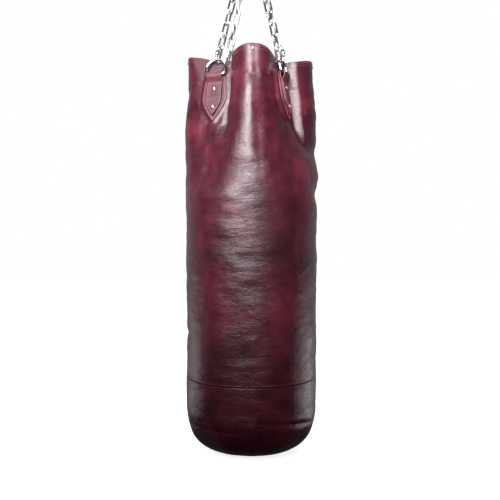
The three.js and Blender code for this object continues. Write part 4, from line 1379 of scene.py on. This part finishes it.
FLOOR_REACH = 9.0
FLOOR_DROP = 0.010  # below the underside of the bag
CAMERA_DISTANCE = 1.70
CAMERA_HEIGHT = 0.510  # above the underside
CAMERA_SIDE = -0.004
LENS = 46.3
SENSOR = 36.0
LILAC = (1.0, 0.955, 0.985)
WHITE = (1.0, 1.0, 1.0)


def in_scene(name, data, place):
    made = bpy.data.objects.new(name, data)
    bpy.context.scene.collection.objects.link(made)
    made.location = place
    return made


def stage_floor():
    """A pale floor that the camera sees, and that the bag doesn't reflect."""
    corners = [(-1, -1, 0), (1, -1, 0), (1, 1, 0), (-1, 1, 0)]
    points = [Vector(corner) * FLOOR_REACH for corner in corners]
    floor = new_object("floor", points, [(0, 1, 2, 3)])
    floor.location.z = BASE - FLOOR_DROP
    paint = Paint("floor_paint", (0.93, 0.93, 0.935), 0.10)
    paint.shade({"Emission Color": WHITE, "Emission Strength": 0.85})
    floor.data.materials.append(paint.material)
    floor.visible_diffuse = False
    floor.visible_glossy = False


def area_light(name, place, target, size, energy, color, spread=180):
    """A soft box at a place (x, y, height above the underside), aimed at a height."""
    data = bpy.data.lights.new(name, "AREA")
    data.shape = "RECTANGLE"
    data.size, data.size_y = size
    data.energy = energy
    data.color = color
    data.spread = math.radians(spread)
    place = Vector((place[0], place[1], BASE + place[2]))
    light = in_scene(name, data, place)
    light.visible_camera = False
    direction = Vector((0, 0, BASE + target)) - place
    light.rotation_euler = direction.to_track_quat("-Z", "Y").to_euler()


def studio_world():
    """White for the camera. It lights the bag strongly from behind and gently in front."""
    world = bpy.data.worlds.new("studio")
    bpy.context.scene.world = world
    world.use_nodes = True
    tree = world.node_tree
    seen = add_node(tree, "LightPath", "Is Camera Ray", {})
    where = add_node(tree, "TexCoord", "Generated", {})

    def eased(axis, first, last, low, high):
        part = add_node(tree, "SeparateXYZ", axis, {"Vector": where})
        span = {"From Min": first, "From Max": last, "To Min": low, "To Max": high}
        inputs = {"Value": part, **span}
        return add_node(tree, "MapRange", "Result", inputs, interpolation_type="SMOOTHSTEP")

    behind = eased("Y", 0.12, 0.55, 0.03, 0.5)
    above = eased("Z", -0.5, 0.0, 0.15, 1.0)
    strength = maths(tree, "MAXIMUM", maths(tree, "MULTIPLY", behind, above), seen)
    tint = mixed(tree, seen, (0.96, 0.93, 1.0), WHITE)
    feed(tree, tree.nodes["Background"].inputs, {"Color": tint, "Strength": strength})


def camera():
    data = bpy.data.cameras.new("camera")
    data.lens = LENS
    data.sensor_width = SENSOR
    made = in_scene("camera", data, (CAMERA_SIDE, -CAMERA_DISTANCE, BASE + CAMERA_HEIGHT))
    made.rotation_euler = (math.pi / 2, 0, 0)
    bpy.context.scene.camera = made


stage_floor()
studio_world()
camera()
area_light("key", (-0.36, -1.45, 1.36), 0.95, (1.7, 0.9), 21, LILAC, 58)
area_light("left_low", (-1.5, 0.65, -0.05), 0.25, (0.8, 0.5), 2.5, LILAC)
area_light("right_low", (1.5, 0.5, -0.15), 0.20, (0.9, 0.5), 6, LILAC)
area_light("top", (0, 0.1, 2.6), 0.55, (1.4, 1.4), 24, WHITE)
bpy.context.scene.view_settings.view_transform = "Standard"
